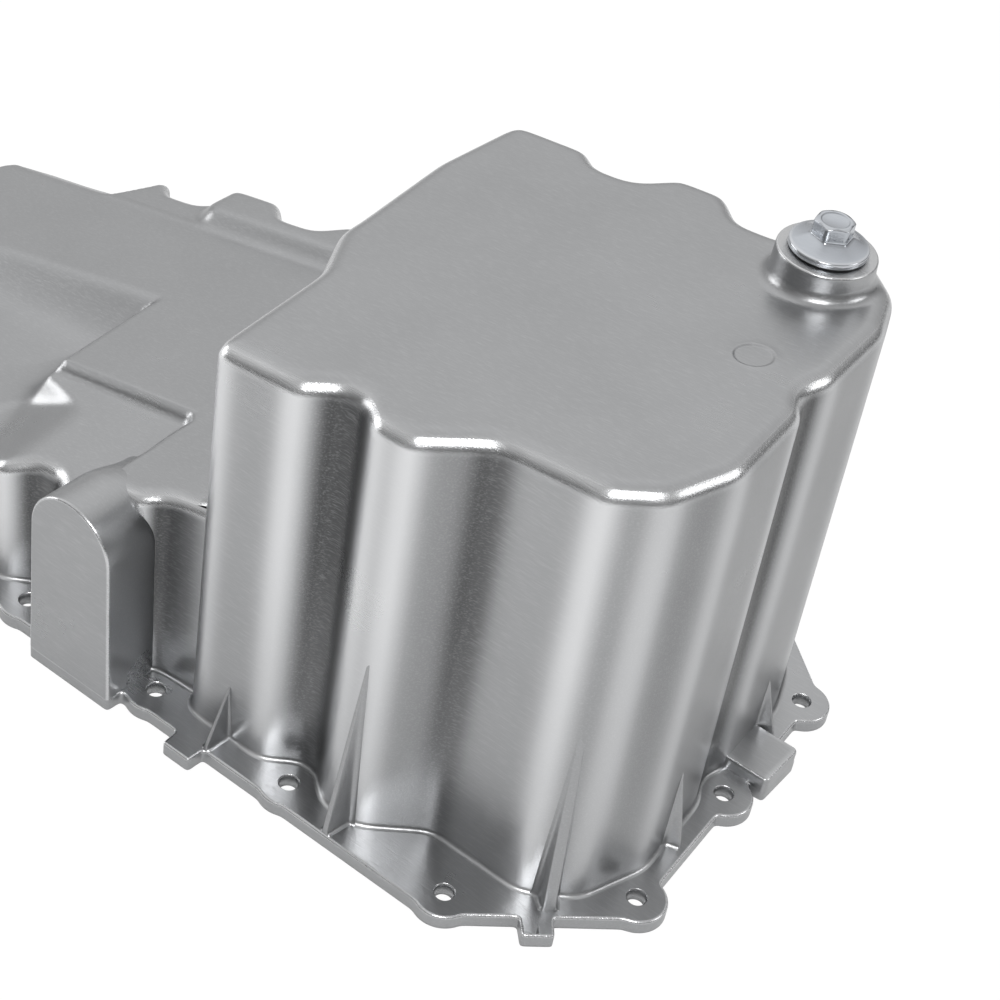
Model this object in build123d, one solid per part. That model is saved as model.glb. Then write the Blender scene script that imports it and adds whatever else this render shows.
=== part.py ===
from build123d import *
import os
from math import hypot, radians, sin, tan

os.makedirs("parts", exist_ok=True)

# The pan stands as it is photographed: gasket face down on z = 0, floor of the sump on top,
# long side along X. Plan sizes are measured from the near corner bolt; the finished pan is
# moved to its middle at the end.
PLAN_MIDDLE_X = -188.0
PLAN_MIDDLE_Y = 100.7

# flange and walls
FLANGE_T = 6.0
WALL_T = 4.0
FLOOR_T = 4.5
DRAFT_DEG = 0.5
HOLE_R = 3.5
LOBE_R = 11.4
EDGE_FROM_BOLTS = 10.0
LOBE_BLEND_R = 4.0
WALL_FOOT = 1.5

# bolt places, from the near corner bolt
NEAR_Y = 0.0
NEAR_BOLTS_X = [0.0, -72.0, -138.0, -206.0, -263.0, -320.0, -377.0]
RIGHT_BOLTS = [(50.5, 45.4), (46.4, 109.1), (42.3, 172.8)]
FAR_Y = 207.5
FAR_BOLTS_X = [-31.0, -95.0, -170.0, -245.0, -312.0, -376.0]
LEFT_BOLTS = [(-426.5, 45.4), (-426.5, 109.1), (-426.5, 172.8)]

# bays that leave room for the bolt heads in the two long walls
NEAR_WALL_Y = 1.4
NEAR_BAY_Y = 9.2
NEAR_BAY_MOUTH = 15.5
NEAR_BAY_HALF = 5.0
FAR_WALL_Y = 204.6
FAR_BAY_Y = 193.0
FAR_BAY_MOUTH = 20.0
FAR_BAY_HALF = 9.0
SUMP_BAY_Y = 10.8
SUMP_CORNER_BAY_Y = 18.3

# sump floor: slopes up to the drain end
SUMP_FLOOR_Z = 184.6
SUMP_SLOPE = 0.1038
SUMP_EDGE_R = 6.0

# shallow floor: slopes up to the sump; rail and recesses in it
SHALLOW_Z = 119.4
SHALLOW_SLOPE = 0.2
RAIL_RISE = 7.0
RAIL_END_X = -292.0
RAIL_Y = 178.0
STEP_LEFT_X = -254.0
STEP_RIGHT_X = -176.5
STEP_FAR_Y = 54.5
STEP_DEPTH = 5.6
STEP_FALL = 0.144
RAMP_X = -222.0
RAMP_FAR_Y = 44.0
RAMP_FALL = 0.38
POCKET_FAR_Y = 105.0
POCKET_NEAR_X = -234.0
POCKET_FAR_X = -262.0
POCKET_DEPTH = 35.0
POCKET_FALL = 0.06
SHOULDER_X = -343.0
SHOULDER_Y = 173.5
SHOULDER_FALL = 0.6

# drain boss and plug
BOSS_X = 1.8
BOSS_Y = 172.6
BOSS_H = 11.7
BOSS_R = 17.9
BOSS_FOOT_R = 18.6
BOSS_FOOT_FILLET = 4.0
THREAD_R = 6.0
THREAD_CLEARANCE = 0.06
SEAL_T = 0.8
SEAL_R = 13.6
SEAL_BORE_CLEARANCE = 0.3
PLUG_FLANGE_R = 14.2
PLUG_RIM_H = 2.3
PLUG_RIM_BEVEL = 0.3
PLUG_CONE_H = 2.8
PLUG_HEX_AF = 13.0
PLUG_HEX_H = 6.0
PLUG_HEX_TURN_DEG = 8.0
PLUG_HEX_CROWN = 0.55
PLUG_SHANK_L = 17.0
PLUG_SHANK_BEVEL = 1.2
PLUG_DISH = 0.4
PLUG_DISH_MARGIN = 1.5

# ejector mark, tabs and lug
MARK_X = 11.0
MARK_Y = 114.0
MARK_R = 6.6
MARK_DEPTH = 0.5
TAB_REACH = 17.5
TAB_W = 13.4
TAB_X = -111.3
CORNER_TAB_ALONG = 31.4
CORNER_TAB_W = 11.8
CORNER_TAB_REACH = 18.2
END_TAB_X = 57.2
END_TAB_Y = 132.1
END_TAB_W = 23.0
END_TAB_RISE = 5.5
LUG_MIDDLE_X = -167.1
LUG_W = 41.4
LUG_FACE_Y = -16.6
LUG_BACK_Y = 8.0
LUG_TOP_Z = 87.6
LUG_TAPER = 1.2

# room to cut in: taller than the sump, and wider than the flange on every side
TALL = SUMP_FLOOR_Z + SHALLOW_Z
WIDE = 2 * (END_TAB_X - LEFT_BOLTS[0][0])

# z of the sump floor under the drain boss, and of the machined face on top of the boss
BOSS_TOP_Z = SUMP_FLOOR_Z + SUMP_SLOPE * BOSS_X + BOSS_H

# plan frame along the chamfered near corner, from its first bolt towards its second
corner_frame = Plane(
    origin=(NEAR_BOLTS_X[0], NEAR_Y, 0),
    x_dir=(RIGHT_BOLTS[0][0] - NEAR_BOLTS_X[0], RIGHT_BOLTS[0][1] - NEAR_Y, 0),
    z_dir=(0, 0, 1),
)


def rounded_face(corners):
    """Closed outline through (x, y, radius) corners, as a face on z = 0."""
    count = len(corners)
    starts = []
    ends = []
    mids = []
    for i, (x, y, r) in enumerate(corners):
        here = Vector(x, y)
        to_before = Vector(*corners[i - 1][:2]) - here
        to_after = Vector(*corners[(i + 1) % count][:2]) - here
        room = 0.48 * min(to_before.length, to_after.length)
        a = to_before.normalized()
        b = to_after.normalized()
        half = radians(a.get_angle(b)) / 2.0
        setback = min(r / tan(half), room)
        radius = setback * tan(half)
        axis = (a + b).normalized()
        starts.append(here + a * setback)
        ends.append(here + b * setback)
        mids.append(here + axis * (radius / sin(half) - radius))
    edges = []
    for i in range(count):
        edges.append(ThreePointArc(starts[i], mids[i], ends[i]).edge())
        edges.append(Line(ends[i], starts[(i + 1) % count]).edge())
    return make_face(Wire(edges))


def box_face(left, right, near, far, radius):
    """Rectangle with round corners, as a face on z = 0."""
    return rounded_face([(left, near, radius), (right, near, radius), (right, far, radius), (left, far, radius)])


def slope(z_at_origin, slope_x, slope_y=0.0):
    """Plane z = z_at_origin + slope_x x + slope_y y."""
    return Plane(origin=(0, 0, z_at_origin), z_dir=(-slope_x, -slope_y, 1.0))


def above(face, *floors):
    """The space over a face and over every one of the sloping floors."""
    space = extrude(face, amount=TALL)
    for floor in floors:
        space = split(space, bisect_by=floor, keep=Keep.TOP)
    return space


def inset_face(face, amount):
    """The same outline moved in by an amount, or out if it is negative."""
    if amount == 0:
        return face
    return offset(face, amount=-amount, kind=Kind.ARC).face()


def bay(bolt_x, mouth, half, bay_y, left_y, right_y, mouth_r=7.0, bay_r=5.0):
    """Corners, left to right, of the bay in a long wall round one bolt."""
    return [
        (bolt_x - mouth, left_y, mouth_r),
        (bolt_x - half, bay_y, bay_r),
        (bolt_x + half, bay_y, bay_r),
        (bolt_x + mouth, right_y, mouth_r),
    ]


def near_bay(index):
    """Bay round one bolt of the near side of the shallow part."""
    y = NEAR_WALL_Y + 0.1 * (index % 2)
    return bay(NEAR_BOLTS_X[index], NEAR_BAY_MOUTH, NEAR_BAY_HALF, NEAR_BAY_Y, y, y)


def far_bay(index, left_y=FAR_WALL_Y, right_y=FAR_WALL_Y):
    """Bay round one bolt of the far side, right to left."""
    corners = bay(FAR_BOLTS_X[index], FAR_BAY_MOUTH, FAR_BAY_HALF, FAR_BAY_Y, left_y, right_y, 7.0, 7.0)
    return corners[::-1]


# plan outline of the shallow part's wall at the flange, as (x, y, corner radius)
shallow_near = [(-394.5, 18.3, 8.0), (-355.5, 18.3, 7.0)]
for bolt in (5, 4, 3, 2):
    shallow_near += near_bay(bolt)
into_sump = [(-104.0, NEAR_WALL_Y, 8.0), (-104.0, 170.0, 8.0), (-125.0, 190.0, 8.0)]
shallow_far = far_bay(2, right_y=200.5) + far_bay(3, FAR_WALL_Y - 0.4, FAR_WALL_Y - 0.2) + far_bay(4)
shallow_left = [
    (-354.0, 204.0, 7.0),
    (-366.0, 191.5, 7.0),
    (-390.0, 191.5, 8.0),
    (-404.0, 183.0, 9.0),
    (-410.0, 171.0, 9.0),
    (-413.2, 158.0, 8.0),
    (-415.4, 121.0, 8.0),
    (-412.0, 109.0, 8.0),
    (-417.4, 98.0, 7.5),
    (-420.8, 57.0, 7.5),
    (-416.4, 44.6, 7.5),
    (-411.6, 30.6, 7.5),
]
shallow_outline = shallow_near + into_sump + shallow_far + shallow_left

# plan outline of the sump's wall at the flange
sump_near = [(-125.5, 1.2, 8.0)]
sump_near += bay(NEAR_BOLTS_X[1], 15.0, 3.5, SUMP_BAY_Y, 1.2, 1.3, 7.5, 6.0)
sump_near += [(-41.5, 1.3, 7.5), (-20.5, SUMP_CORNER_BAY_Y, 7.0), (18.5, SUMP_CORNER_BAY_Y, 8.0)]
sump_right = [
    (35.6, 30.6, 7.5),
    (40.4, 44.6, 7.5),
    (44.8, 57.0, 7.5),
    (41.4, 98.0, 7.5),
    (36.0, 106.5, 7.5),
    (36.6, 113.0, 8.0),
    (39.4, 121.0, 8.0),
    (37.2, 160.0, 10.0),
    (28.0, 184.0, 12.0),
    (9.0, 202.0, 10.0),
]
sump_far = [
    (-8.0, 204.5, 8.0),
    (-22.0, 191.8, 7.0),
    (-40.0, 191.8, 7.0),
    (-54.0, 206.0, 7.5),
    (-76.0, 206.0, 7.5),
    (-88.0, 192.0, 7.0),
    (-103.0, 192.0, 7.0),
    (-112.0, 200.5, 8.0),
]
sump_left = [
    (-149.5, 200.5, 9.0),
    (-151.5, 152.0, 30.0),
    (-145.0, 98.0, 12.0),
    (-144.5, 88.0, 10.0),
    (-131.0, 62.0, 10.0),
]
sump_outline = sump_near + sump_right + sump_far + sump_left


def shallow_body(inset, drop):
    """Shallow part up to its stepped, sloping floor; inset and drop give the cavity."""
    body = extrude(inset_face(rounded_face(shallow_outline), inset), amount=130.0, taper=DRAFT_DEG)
    near = -WIDE
    far = WIDE
    rail = box_face(RAIL_END_X, WIDE, RAIL_Y, far, 10.0)
    step = box_face(STEP_LEFT_X, STEP_RIGHT_X, near, STEP_FAR_Y, 3.0)
    ramp = box_face(POCKET_FAR_X, RAMP_X, near, RAMP_FAR_Y, 8.0)
    pocket = rounded_face(
        [
            (-WIDE, near, 1.0),
            (POCKET_NEAR_X, near, 1.0),
            (POCKET_NEAR_X, 14.0, 14.0),
            (-256.5, 52.0, 20.0),
            (POCKET_FAR_X, POCKET_FAR_Y, 9.0),
            (-WIDE, POCKET_FAR_Y, 1.0),
        ]
    )
    shoulder = box_face(-WIDE, SHOULDER_X, SHOULDER_Y, far, 12.0)
    z = SHALLOW_Z - drop
    step_z = z - STEP_DEPTH - STEP_FALL * STEP_FAR_Y
    pocket_floor = slope(z - POCKET_DEPTH, SHALLOW_SLOPE - POCKET_FALL)
    ramp_floor = slope(step_z - RAMP_X * RAMP_FALL, SHALLOW_SLOPE + RAMP_FALL, STEP_FALL)
    everywhere = Rectangle(2 * WIDE, 2 * WIDE)
    body -= above(everywhere - inset_face(rail, inset), slope(z, SHALLOW_SLOPE))
    body -= above(everywhere, slope(z + RAIL_RISE, SHALLOW_SLOPE))
    body -= above(inset_face(step, -inset), slope(step_z, SHALLOW_SLOPE, STEP_FALL))
    body -= above(inset_face(ramp, -inset), ramp_floor, pocket_floor)
    body -= above(inset_face(pocket, -inset), pocket_floor)
    body -= above(inset_face(shoulder, -inset), slope(z + SHOULDER_Y * SHOULDER_FALL, SHALLOW_SLOPE, -SHOULDER_FALL))
    return body


def sump_body(inset, drop):
    """Deep sump up to its sloping floor."""
    body = extrude(inset_face(rounded_face(sump_outline), inset), amount=240.0, taper=DRAFT_DEG)
    return split(body, bisect_by=slope(SUMP_FLOOR_Z - drop, SUMP_SLOPE), keep=Keep.BOTTOM)


def wall_foot(corners):
    """Sloping band where a wall stands on the flange."""
    foot = inset_face(rounded_face(corners), -WALL_FOOT)
    return Pos(0, 0, FLANGE_T) * extrude(foot, amount=WALL_FOOT, taper=45.0)


def bolt_places():
    """Centres of all the flange bolts."""
    near = [(x, NEAR_Y) for x in NEAR_BOLTS_X]
    far = [(x, FAR_Y) for x in FAR_BOLTS_X]
    return near + RIGHT_BOLTS + far + LEFT_BOLTS


def end_tab():
    """Outline of the raised tab on the right end, wide enough to reach the wall."""
    return box_face(34.0, END_TAB_X, END_TAB_Y - END_TAB_W / 2, END_TAB_Y + END_TAB_W / 2, 3.4)


def flange_plate():
    """Gasket flange: straight edges with a lobe round each bolt, three tabs and the lug's foot."""
    outline = rounded_face(
        [
            (-430.1, 35.7, 2.0),
            (-379.8, NEAR_Y - EDGE_FROM_BOLTS, 2.0),
            (3.8, NEAR_Y - EDGE_FROM_BOLTS, 2.0),
            (54.6, 35.7, 2.0),
            (45.3, 181.3, 2.0),
            (3.6, FAR_Y + EDGE_FROM_BOLTS, 6.0),
            (-388.4, FAR_Y + EDGE_FROM_BOLTS, 6.0),
            (-430.1, 181.3, 2.0),
        ]
    )
    for x, y in bolt_places():
        outline += Pos(x, y) * Circle(LOBE_R)
    grown = offset(outline.face(), amount=LOBE_BLEND_R, kind=Kind.ARC).face()
    outline = offset(grown, amount=-LOBE_BLEND_R, kind=Kind.ARC).face()
    outline += box_face(TAB_X - TAB_W / 2, TAB_X + TAB_W / 2, -TAB_REACH, TAB_REACH, 2.6)
    outline += corner_frame * box_face(
        CORNER_TAB_ALONG - CORNER_TAB_W / 2,
        CORNER_TAB_ALONG + CORNER_TAB_W / 2,
        -CORNER_TAB_REACH,
        CORNER_TAB_REACH,
        2.6,
    )
    outline += end_tab()
    outline += box_face(LUG_MIDDLE_X - LUG_W / 2, LUG_MIDDLE_X + LUG_W / 2, LUG_FACE_Y, LUG_BACK_Y, 2.2)
    return extrude(outline.face(), amount=FLANGE_T)


def rib(foot_a, foot_b, height, thick_out, thick_in):
    """Triangular stiffening rib on the flange: foot_b against the wall, foot_a at the edge."""
    ax, ay = foot_a
    bx, by = foot_b
    run = hypot(bx - ax, by - ay)
    sunk = 1.0
    into_wall = 3.0
    along = Plane(origin=(ax, ay, FLANGE_T - sunk), x_dir=(bx - ax, by - ay, 0), z_dir=(0, 0, 1))
    foot = along * Polyline(
        (0, -thick_out / 2),
        (run + into_wall, -thick_in / 2),
        (run + into_wall, thick_in / 2),
        (0, thick_out / 2),
        close=True,
    )
    body = extrude(make_face(foot), amount=height + sunk)
    edge = Plane(
        origin=(ax, ay, FLANGE_T),
        z_dir=Vector((bx - ax) / run * -height, (by - ay) / run * -height, run),
    )
    return split(body, bisect_by=edge, keep=Keep.BOTTOM)


def lug():
    """Upright pad on the near side with a round top, running back into the shallow floor."""
    half = LUG_W / 2.0
    top_half = half - LUG_TAPER
    spring_z = LUG_TOP_Z - top_half
    face = Plane(origin=(LUG_MIDDLE_X, LUG_FACE_Y, 0), x_dir=(1, 0, 0), z_dir=(0, -1, 0))
    profile = face * make_face(
        Wire(
            [
                Line((-half, 0), (half, 0)).edge(),
                Line((half, 0), (top_half, spring_z)).edge(),
                ThreePointArc((top_half, spring_z), (0, LUG_TOP_Z), (-top_half, spring_z)).edge(),
                Line((-top_half, spring_z), (-half, 0)).edge(),
            ]
        )
    )
    return extrude(profile, amount=LUG_FACE_Y - LUG_BACK_Y)


def drain_boss():
    """Turned boss for the drain plug, drafted, reaching down through the floor."""
    foot_z = BOSS_TOP_Z - BOSS_H - 2 * FLOOR_T
    profile = make_face(
        Polyline((0, foot_z), (BOSS_FOOT_R, foot_z), (BOSS_R, BOSS_TOP_Z), (0, BOSS_TOP_Z), close=True)
    )
    return Pos(BOSS_X, BOSS_Y, 0) * revolve(Plane.XZ * profile, axis=Axis.Z)


def near_boss(point, radius):
    """Whether a point lies within a plan radius of the drain boss."""
    return hypot(point.X - BOSS_X, point.Y - BOSS_Y) < radius


def boss_foot_edges(body):
    """Edges where the boss stands on the sump floor and on the rounded rim."""
    found = []
    for edge in body.edges():
        level = BOSS_TOP_Z - BOSS_H - SUMP_EDGE_R < edge.center().Z < BOSS_TOP_Z - BOSS_H / 2
        if level and all(near_boss(v, BOSS_FOOT_R + 0.5) and not near_boss(v, BOSS_R) for v in edge.vertices()):
            found.append(edge)
    return found


# the casting: outside first, then the cavity and the holes
sump = sump_body(0, 0)
sump = fillet(sump.faces().sort_by(Axis.Z)[-1].edges(), SUMP_EDGE_R)
sump += drain_boss()
sump = fillet(boss_foot_edges(sump), BOSS_FOOT_FILLET)
casting = flange_plate() + shallow_body(0, 0) + sump
casting += wall_foot(shallow_outline)
casting += wall_foot(sump_outline)
casting += lug()
casting += rib((-104.2, -9.9), (-103.9, 1.2), 24.0, 1.6, 2.2)
casting += rib((-47.2, -9.4), (-46.0, 1.3), 70.0, 2.2, 3.2)
casting += rib((31.6, 18.4), (26.5, 24.2), 71.0, 4.6, 7.5)
casting += rib((49.2, 75.6), (43.2, 74.2), 35.0, 1.8, 2.4)
casting += rib((45.0, 147.2), (37.6, 144.8), 28.0, 1.8, 2.4)
casting += Pos(0, 0, FLANGE_T) * extrude(end_tab(), amount=END_TAB_RISE)
casting -= shallow_body(WALL_T, FLOOR_T)
casting -= sump_body(WALL_T, FLOOR_T)
for x, y in bolt_places():
    casting -= Pos(x, y, FLANGE_T / 2) * Cylinder(HOLE_R, FLANGE_T * 3)
casting -= Pos(BOSS_X, BOSS_Y, BOSS_TOP_Z) * Cylinder(THREAD_R + THREAD_CLEARANCE, 4 * (BOSS_H + FLOOR_T))
mark = Plane(
    origin=(MARK_X, MARK_Y, SUMP_FLOOR_Z + SUMP_SLOPE * MARK_X),
    z_dir=(-SUMP_SLOPE, 0, 1.0),
)
casting -= mark * Cylinder(MARK_R, 2 * MARK_DEPTH)

# the sealing ring lies on the boss, round the thread
seal = Cylinder(SEAL_R, SEAL_T, align=(Align.CENTER, Align.CENTER, Align.MIN))
seal -= Cylinder(THREAD_R + SEAL_BORE_CLEARANCE, 3 * SEAL_T)
seal = Pos(BOSS_X, BOSS_Y, BOSS_TOP_Z) * seal

# the drain plug: turned flange, cone and shank, with a crowned hexagon on top
hex_base = SEAL_T + PLUG_RIM_H
hex_top = hex_base + PLUG_CONE_H + PLUG_HEX_H
hex_corner_r = PLUG_HEX_AF / 2 / 0.866
plug_profile = make_face(
    Polyline(
        (0, -PLUG_SHANK_L),
        (THREAD_R - PLUG_SHANK_BEVEL, -PLUG_SHANK_L),
        (THREAD_R, -PLUG_SHANK_L + PLUG_SHANK_BEVEL),
        (THREAD_R, SEAL_T),
        (PLUG_FLANGE_R - PLUG_RIM_BEVEL, SEAL_T),
        (PLUG_FLANGE_R, SEAL_T + PLUG_RIM_BEVEL),
        (PLUG_FLANGE_R, hex_base - PLUG_RIM_BEVEL),
        (PLUG_FLANGE_R - PLUG_RIM_BEVEL, hex_base),
        (PLUG_HEX_AF / 2 - 0.5, hex_base + PLUG_CONE_H),
        (0, hex_base + PLUG_CONE_H),
        close=True,
    )
)
plug = revolve(Plane.XZ * plug_profile, axis=Axis.Z)
hexagon = RegularPolygon(PLUG_HEX_AF / 2, 6, major_radius=False)
hex_head = extrude(Pos(0, 0, hex_base) * hexagon, amount=hex_top - hex_base)
crown = make_face(
    Polyline(
        (0, 0),
        (2 * hex_corner_r, 0),
        (2 * hex_corner_r, hex_top - PLUG_HEX_CROWN * (hex_corner_r + PLUG_HEX_AF / 2)),
        (PLUG_HEX_AF / 2, hex_top),
        (0, hex_top),
        close=True,
    )
)
hex_head &= revolve(Plane.XZ * crown, axis=Axis.Z)
plug += Rot(0, 0, PLUG_HEX_TURN_DEG) * hex_head
plug -= Pos(0, 0, hex_top) * Cylinder(PLUG_HEX_AF / 2 - PLUG_DISH_MARGIN, 2 * PLUG_DISH)
plug = Pos(BOSS_X, BOSS_Y, BOSS_TOP_Z) * plug

to_middle = Pos(-PLAN_MIDDLE_X, -PLAN_MIDDLE_Y, 0)
parts = {"pan_casting": casting, "sealing_ring": seal, "drain_plug": plug}
for name, shape in parts.items():
    export_step(to_middle * shape, os.path.join("parts", name + ".step"))
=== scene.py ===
"""Looks of an engine oil pan in cast aluminium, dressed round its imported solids.

The casting is rebuilt as smooth surfaces: the sump, the shallow tray, the gasket flange and the small
forms on it are each a function of two parameters on a grid, worked out as whole numpy arrays. Sizes are
millimetres measured from the near corner bolt, with the gasket face at z = 0, and a mesh is moved to the
row's frame, in metres, as it is made.
"""

from __future__ import annotations

import logging
import math
from dataclasses import dataclass, field
from enum import Enum

import bpy
import numpy as np
from mathutils import Matrix, Vector
from mathutils.geometry import delaunay_2d_cdt

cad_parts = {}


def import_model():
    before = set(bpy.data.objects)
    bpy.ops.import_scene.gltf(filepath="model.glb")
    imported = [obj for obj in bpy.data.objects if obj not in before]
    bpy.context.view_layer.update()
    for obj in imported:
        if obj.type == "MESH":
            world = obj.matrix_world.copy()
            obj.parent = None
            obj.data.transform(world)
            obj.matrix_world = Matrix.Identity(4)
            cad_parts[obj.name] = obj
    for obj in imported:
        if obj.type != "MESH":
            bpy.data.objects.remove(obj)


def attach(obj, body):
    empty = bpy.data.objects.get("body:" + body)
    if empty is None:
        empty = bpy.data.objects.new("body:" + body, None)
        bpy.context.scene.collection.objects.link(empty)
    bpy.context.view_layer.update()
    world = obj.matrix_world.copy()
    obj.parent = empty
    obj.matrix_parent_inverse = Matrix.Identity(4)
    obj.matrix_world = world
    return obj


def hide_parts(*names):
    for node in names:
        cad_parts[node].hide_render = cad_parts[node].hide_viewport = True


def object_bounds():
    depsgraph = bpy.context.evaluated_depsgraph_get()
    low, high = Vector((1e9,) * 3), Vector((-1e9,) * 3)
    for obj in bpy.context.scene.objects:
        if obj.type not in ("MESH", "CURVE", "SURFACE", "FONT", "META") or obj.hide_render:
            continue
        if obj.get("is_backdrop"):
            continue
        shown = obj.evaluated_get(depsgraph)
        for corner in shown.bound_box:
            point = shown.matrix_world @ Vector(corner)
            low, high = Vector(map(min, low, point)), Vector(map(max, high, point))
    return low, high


LOG = logging.getLogger("oil_pan")
Corner = tuple[float, float, float]

MILLIMETRE = 0.001
PLAN_MIDDLE_X = -188.0
PLAN_MIDDLE_Y = 100.7
PAN_BODY = "pan"
CASTING_NODE = "pan_casting"
AXIS_R = 0.01
THREAD_STEP = 0.25


class Slot(Enum):
    """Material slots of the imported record."""

    CASTING = "cast_aluminium"
    SEAL = "seal"
    PLATED = "plated_steel"


@dataclass(frozen=True)
class PanSizes:
    """Driving sizes of the pan, in millimetres and degrees."""

    flange_t: float = 6.0
    wall_t: float = 4.0
    floor_t: float = 4.5
    draft_deg: float = 0.5
    foot_r: float = 1.8
    hole_r: float = 3.5
    lobe_r: float = 11.4
    edge_from_bolts: float = 10.0
    near_y: float = 0.0
    far_y: float = 207.5
    sump_floor_z: float = 184.6
    sump_slope: float = 0.1038
    sump_rim_r: float = 7.5
    tray_z: float = 119.4
    tray_slope: float = 0.2
    tray_rim_r: float = 6.0
    cliff_fillet_r: float = 6.0
    boss_x: float = 1.8
    boss_y: float = 172.6
    boss_h: float = 11.7
    boss_r: float = 17.9
    boss_gap: float = 0.9
    boss_fillet_gap: float = 0.72
    boss_fillet_r: float = 4.0
    near_bolts_x: tuple[float, ...] = (0.0, -72.0, -138.0, -206.0, -263.0, -320.0, -377.0)
    far_bolts_x: tuple[float, ...] = (-31.0, -95.0, -170.0, -245.0, -312.0, -376.0)
    right_bolts: tuple[tuple[float, float], ...] = ((50.5, 45.4), (46.4, 109.1), (42.3, 172.8))
    left_bolts: tuple[tuple[float, float], ...] = ((-426.5, 45.4), (-426.5, 109.1), (-426.5, 172.8))

    @property
    def draft(self) -> float:
        """Inward lean of a wall for each millimetre of height."""
        return math.tan(math.radians(self.draft_deg))

    @property
    def boss_top_z(self) -> float:
        """Height of the machined face on top of the drain boss."""
        return self.sump_floor_z + self.sump_slope * self.boss_x + self.boss_h

    def bolt_places(self) -> np.ndarray:
        """Return the plan centres of all the flange bolts, one row each."""
        near = [(x, self.near_y) for x in self.near_bolts_x]
        far = [(x, self.far_y) for x in self.far_bolts_x]
        return np.array(near + list(self.right_bolts) + far + list(self.left_bolts))

    def boss_fillet(self, away: np.ndarray) -> np.ndarray:
        """Rise of the fillet round the drain boss, at distances from the boss's axis."""
        return quarter_rise(np.maximum(away - self.boss_r - self.boss_fillet_gap, 0.0), self.boss_fillet_r)


SIZES = PanSizes()


def smoothstep(low: float, high: float, value: np.ndarray) -> np.ndarray:
    """Rise from 0 to 1 between two values as 3t^2 - 2t^3."""
    t = np.clip((value - low) / (high - low), 0.0, 1.0)
    return t * t * (3.0 - 2.0 * t)


def smooth_min(a: np.ndarray, b: np.ndarray, blend: float) -> np.ndarray:
    """Smaller of two fields, joined by a parabola where they are less than blend apart."""
    h = np.clip(0.5 + 0.5 * (b - a) / blend, 0.0, 1.0)
    return b + (a - b) * h - blend * h * (1.0 - h)


def quarter_rise(distance: np.ndarray, radius: float) -> np.ndarray:
    """Height of a concave quarter round over its foot line: R - sqrt(R^2 - (R - d)^2)."""
    reach = np.clip(radius - distance, 0.0, radius)
    return radius - np.sqrt(np.maximum(radius * radius - reach * reach, 0.0))


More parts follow.
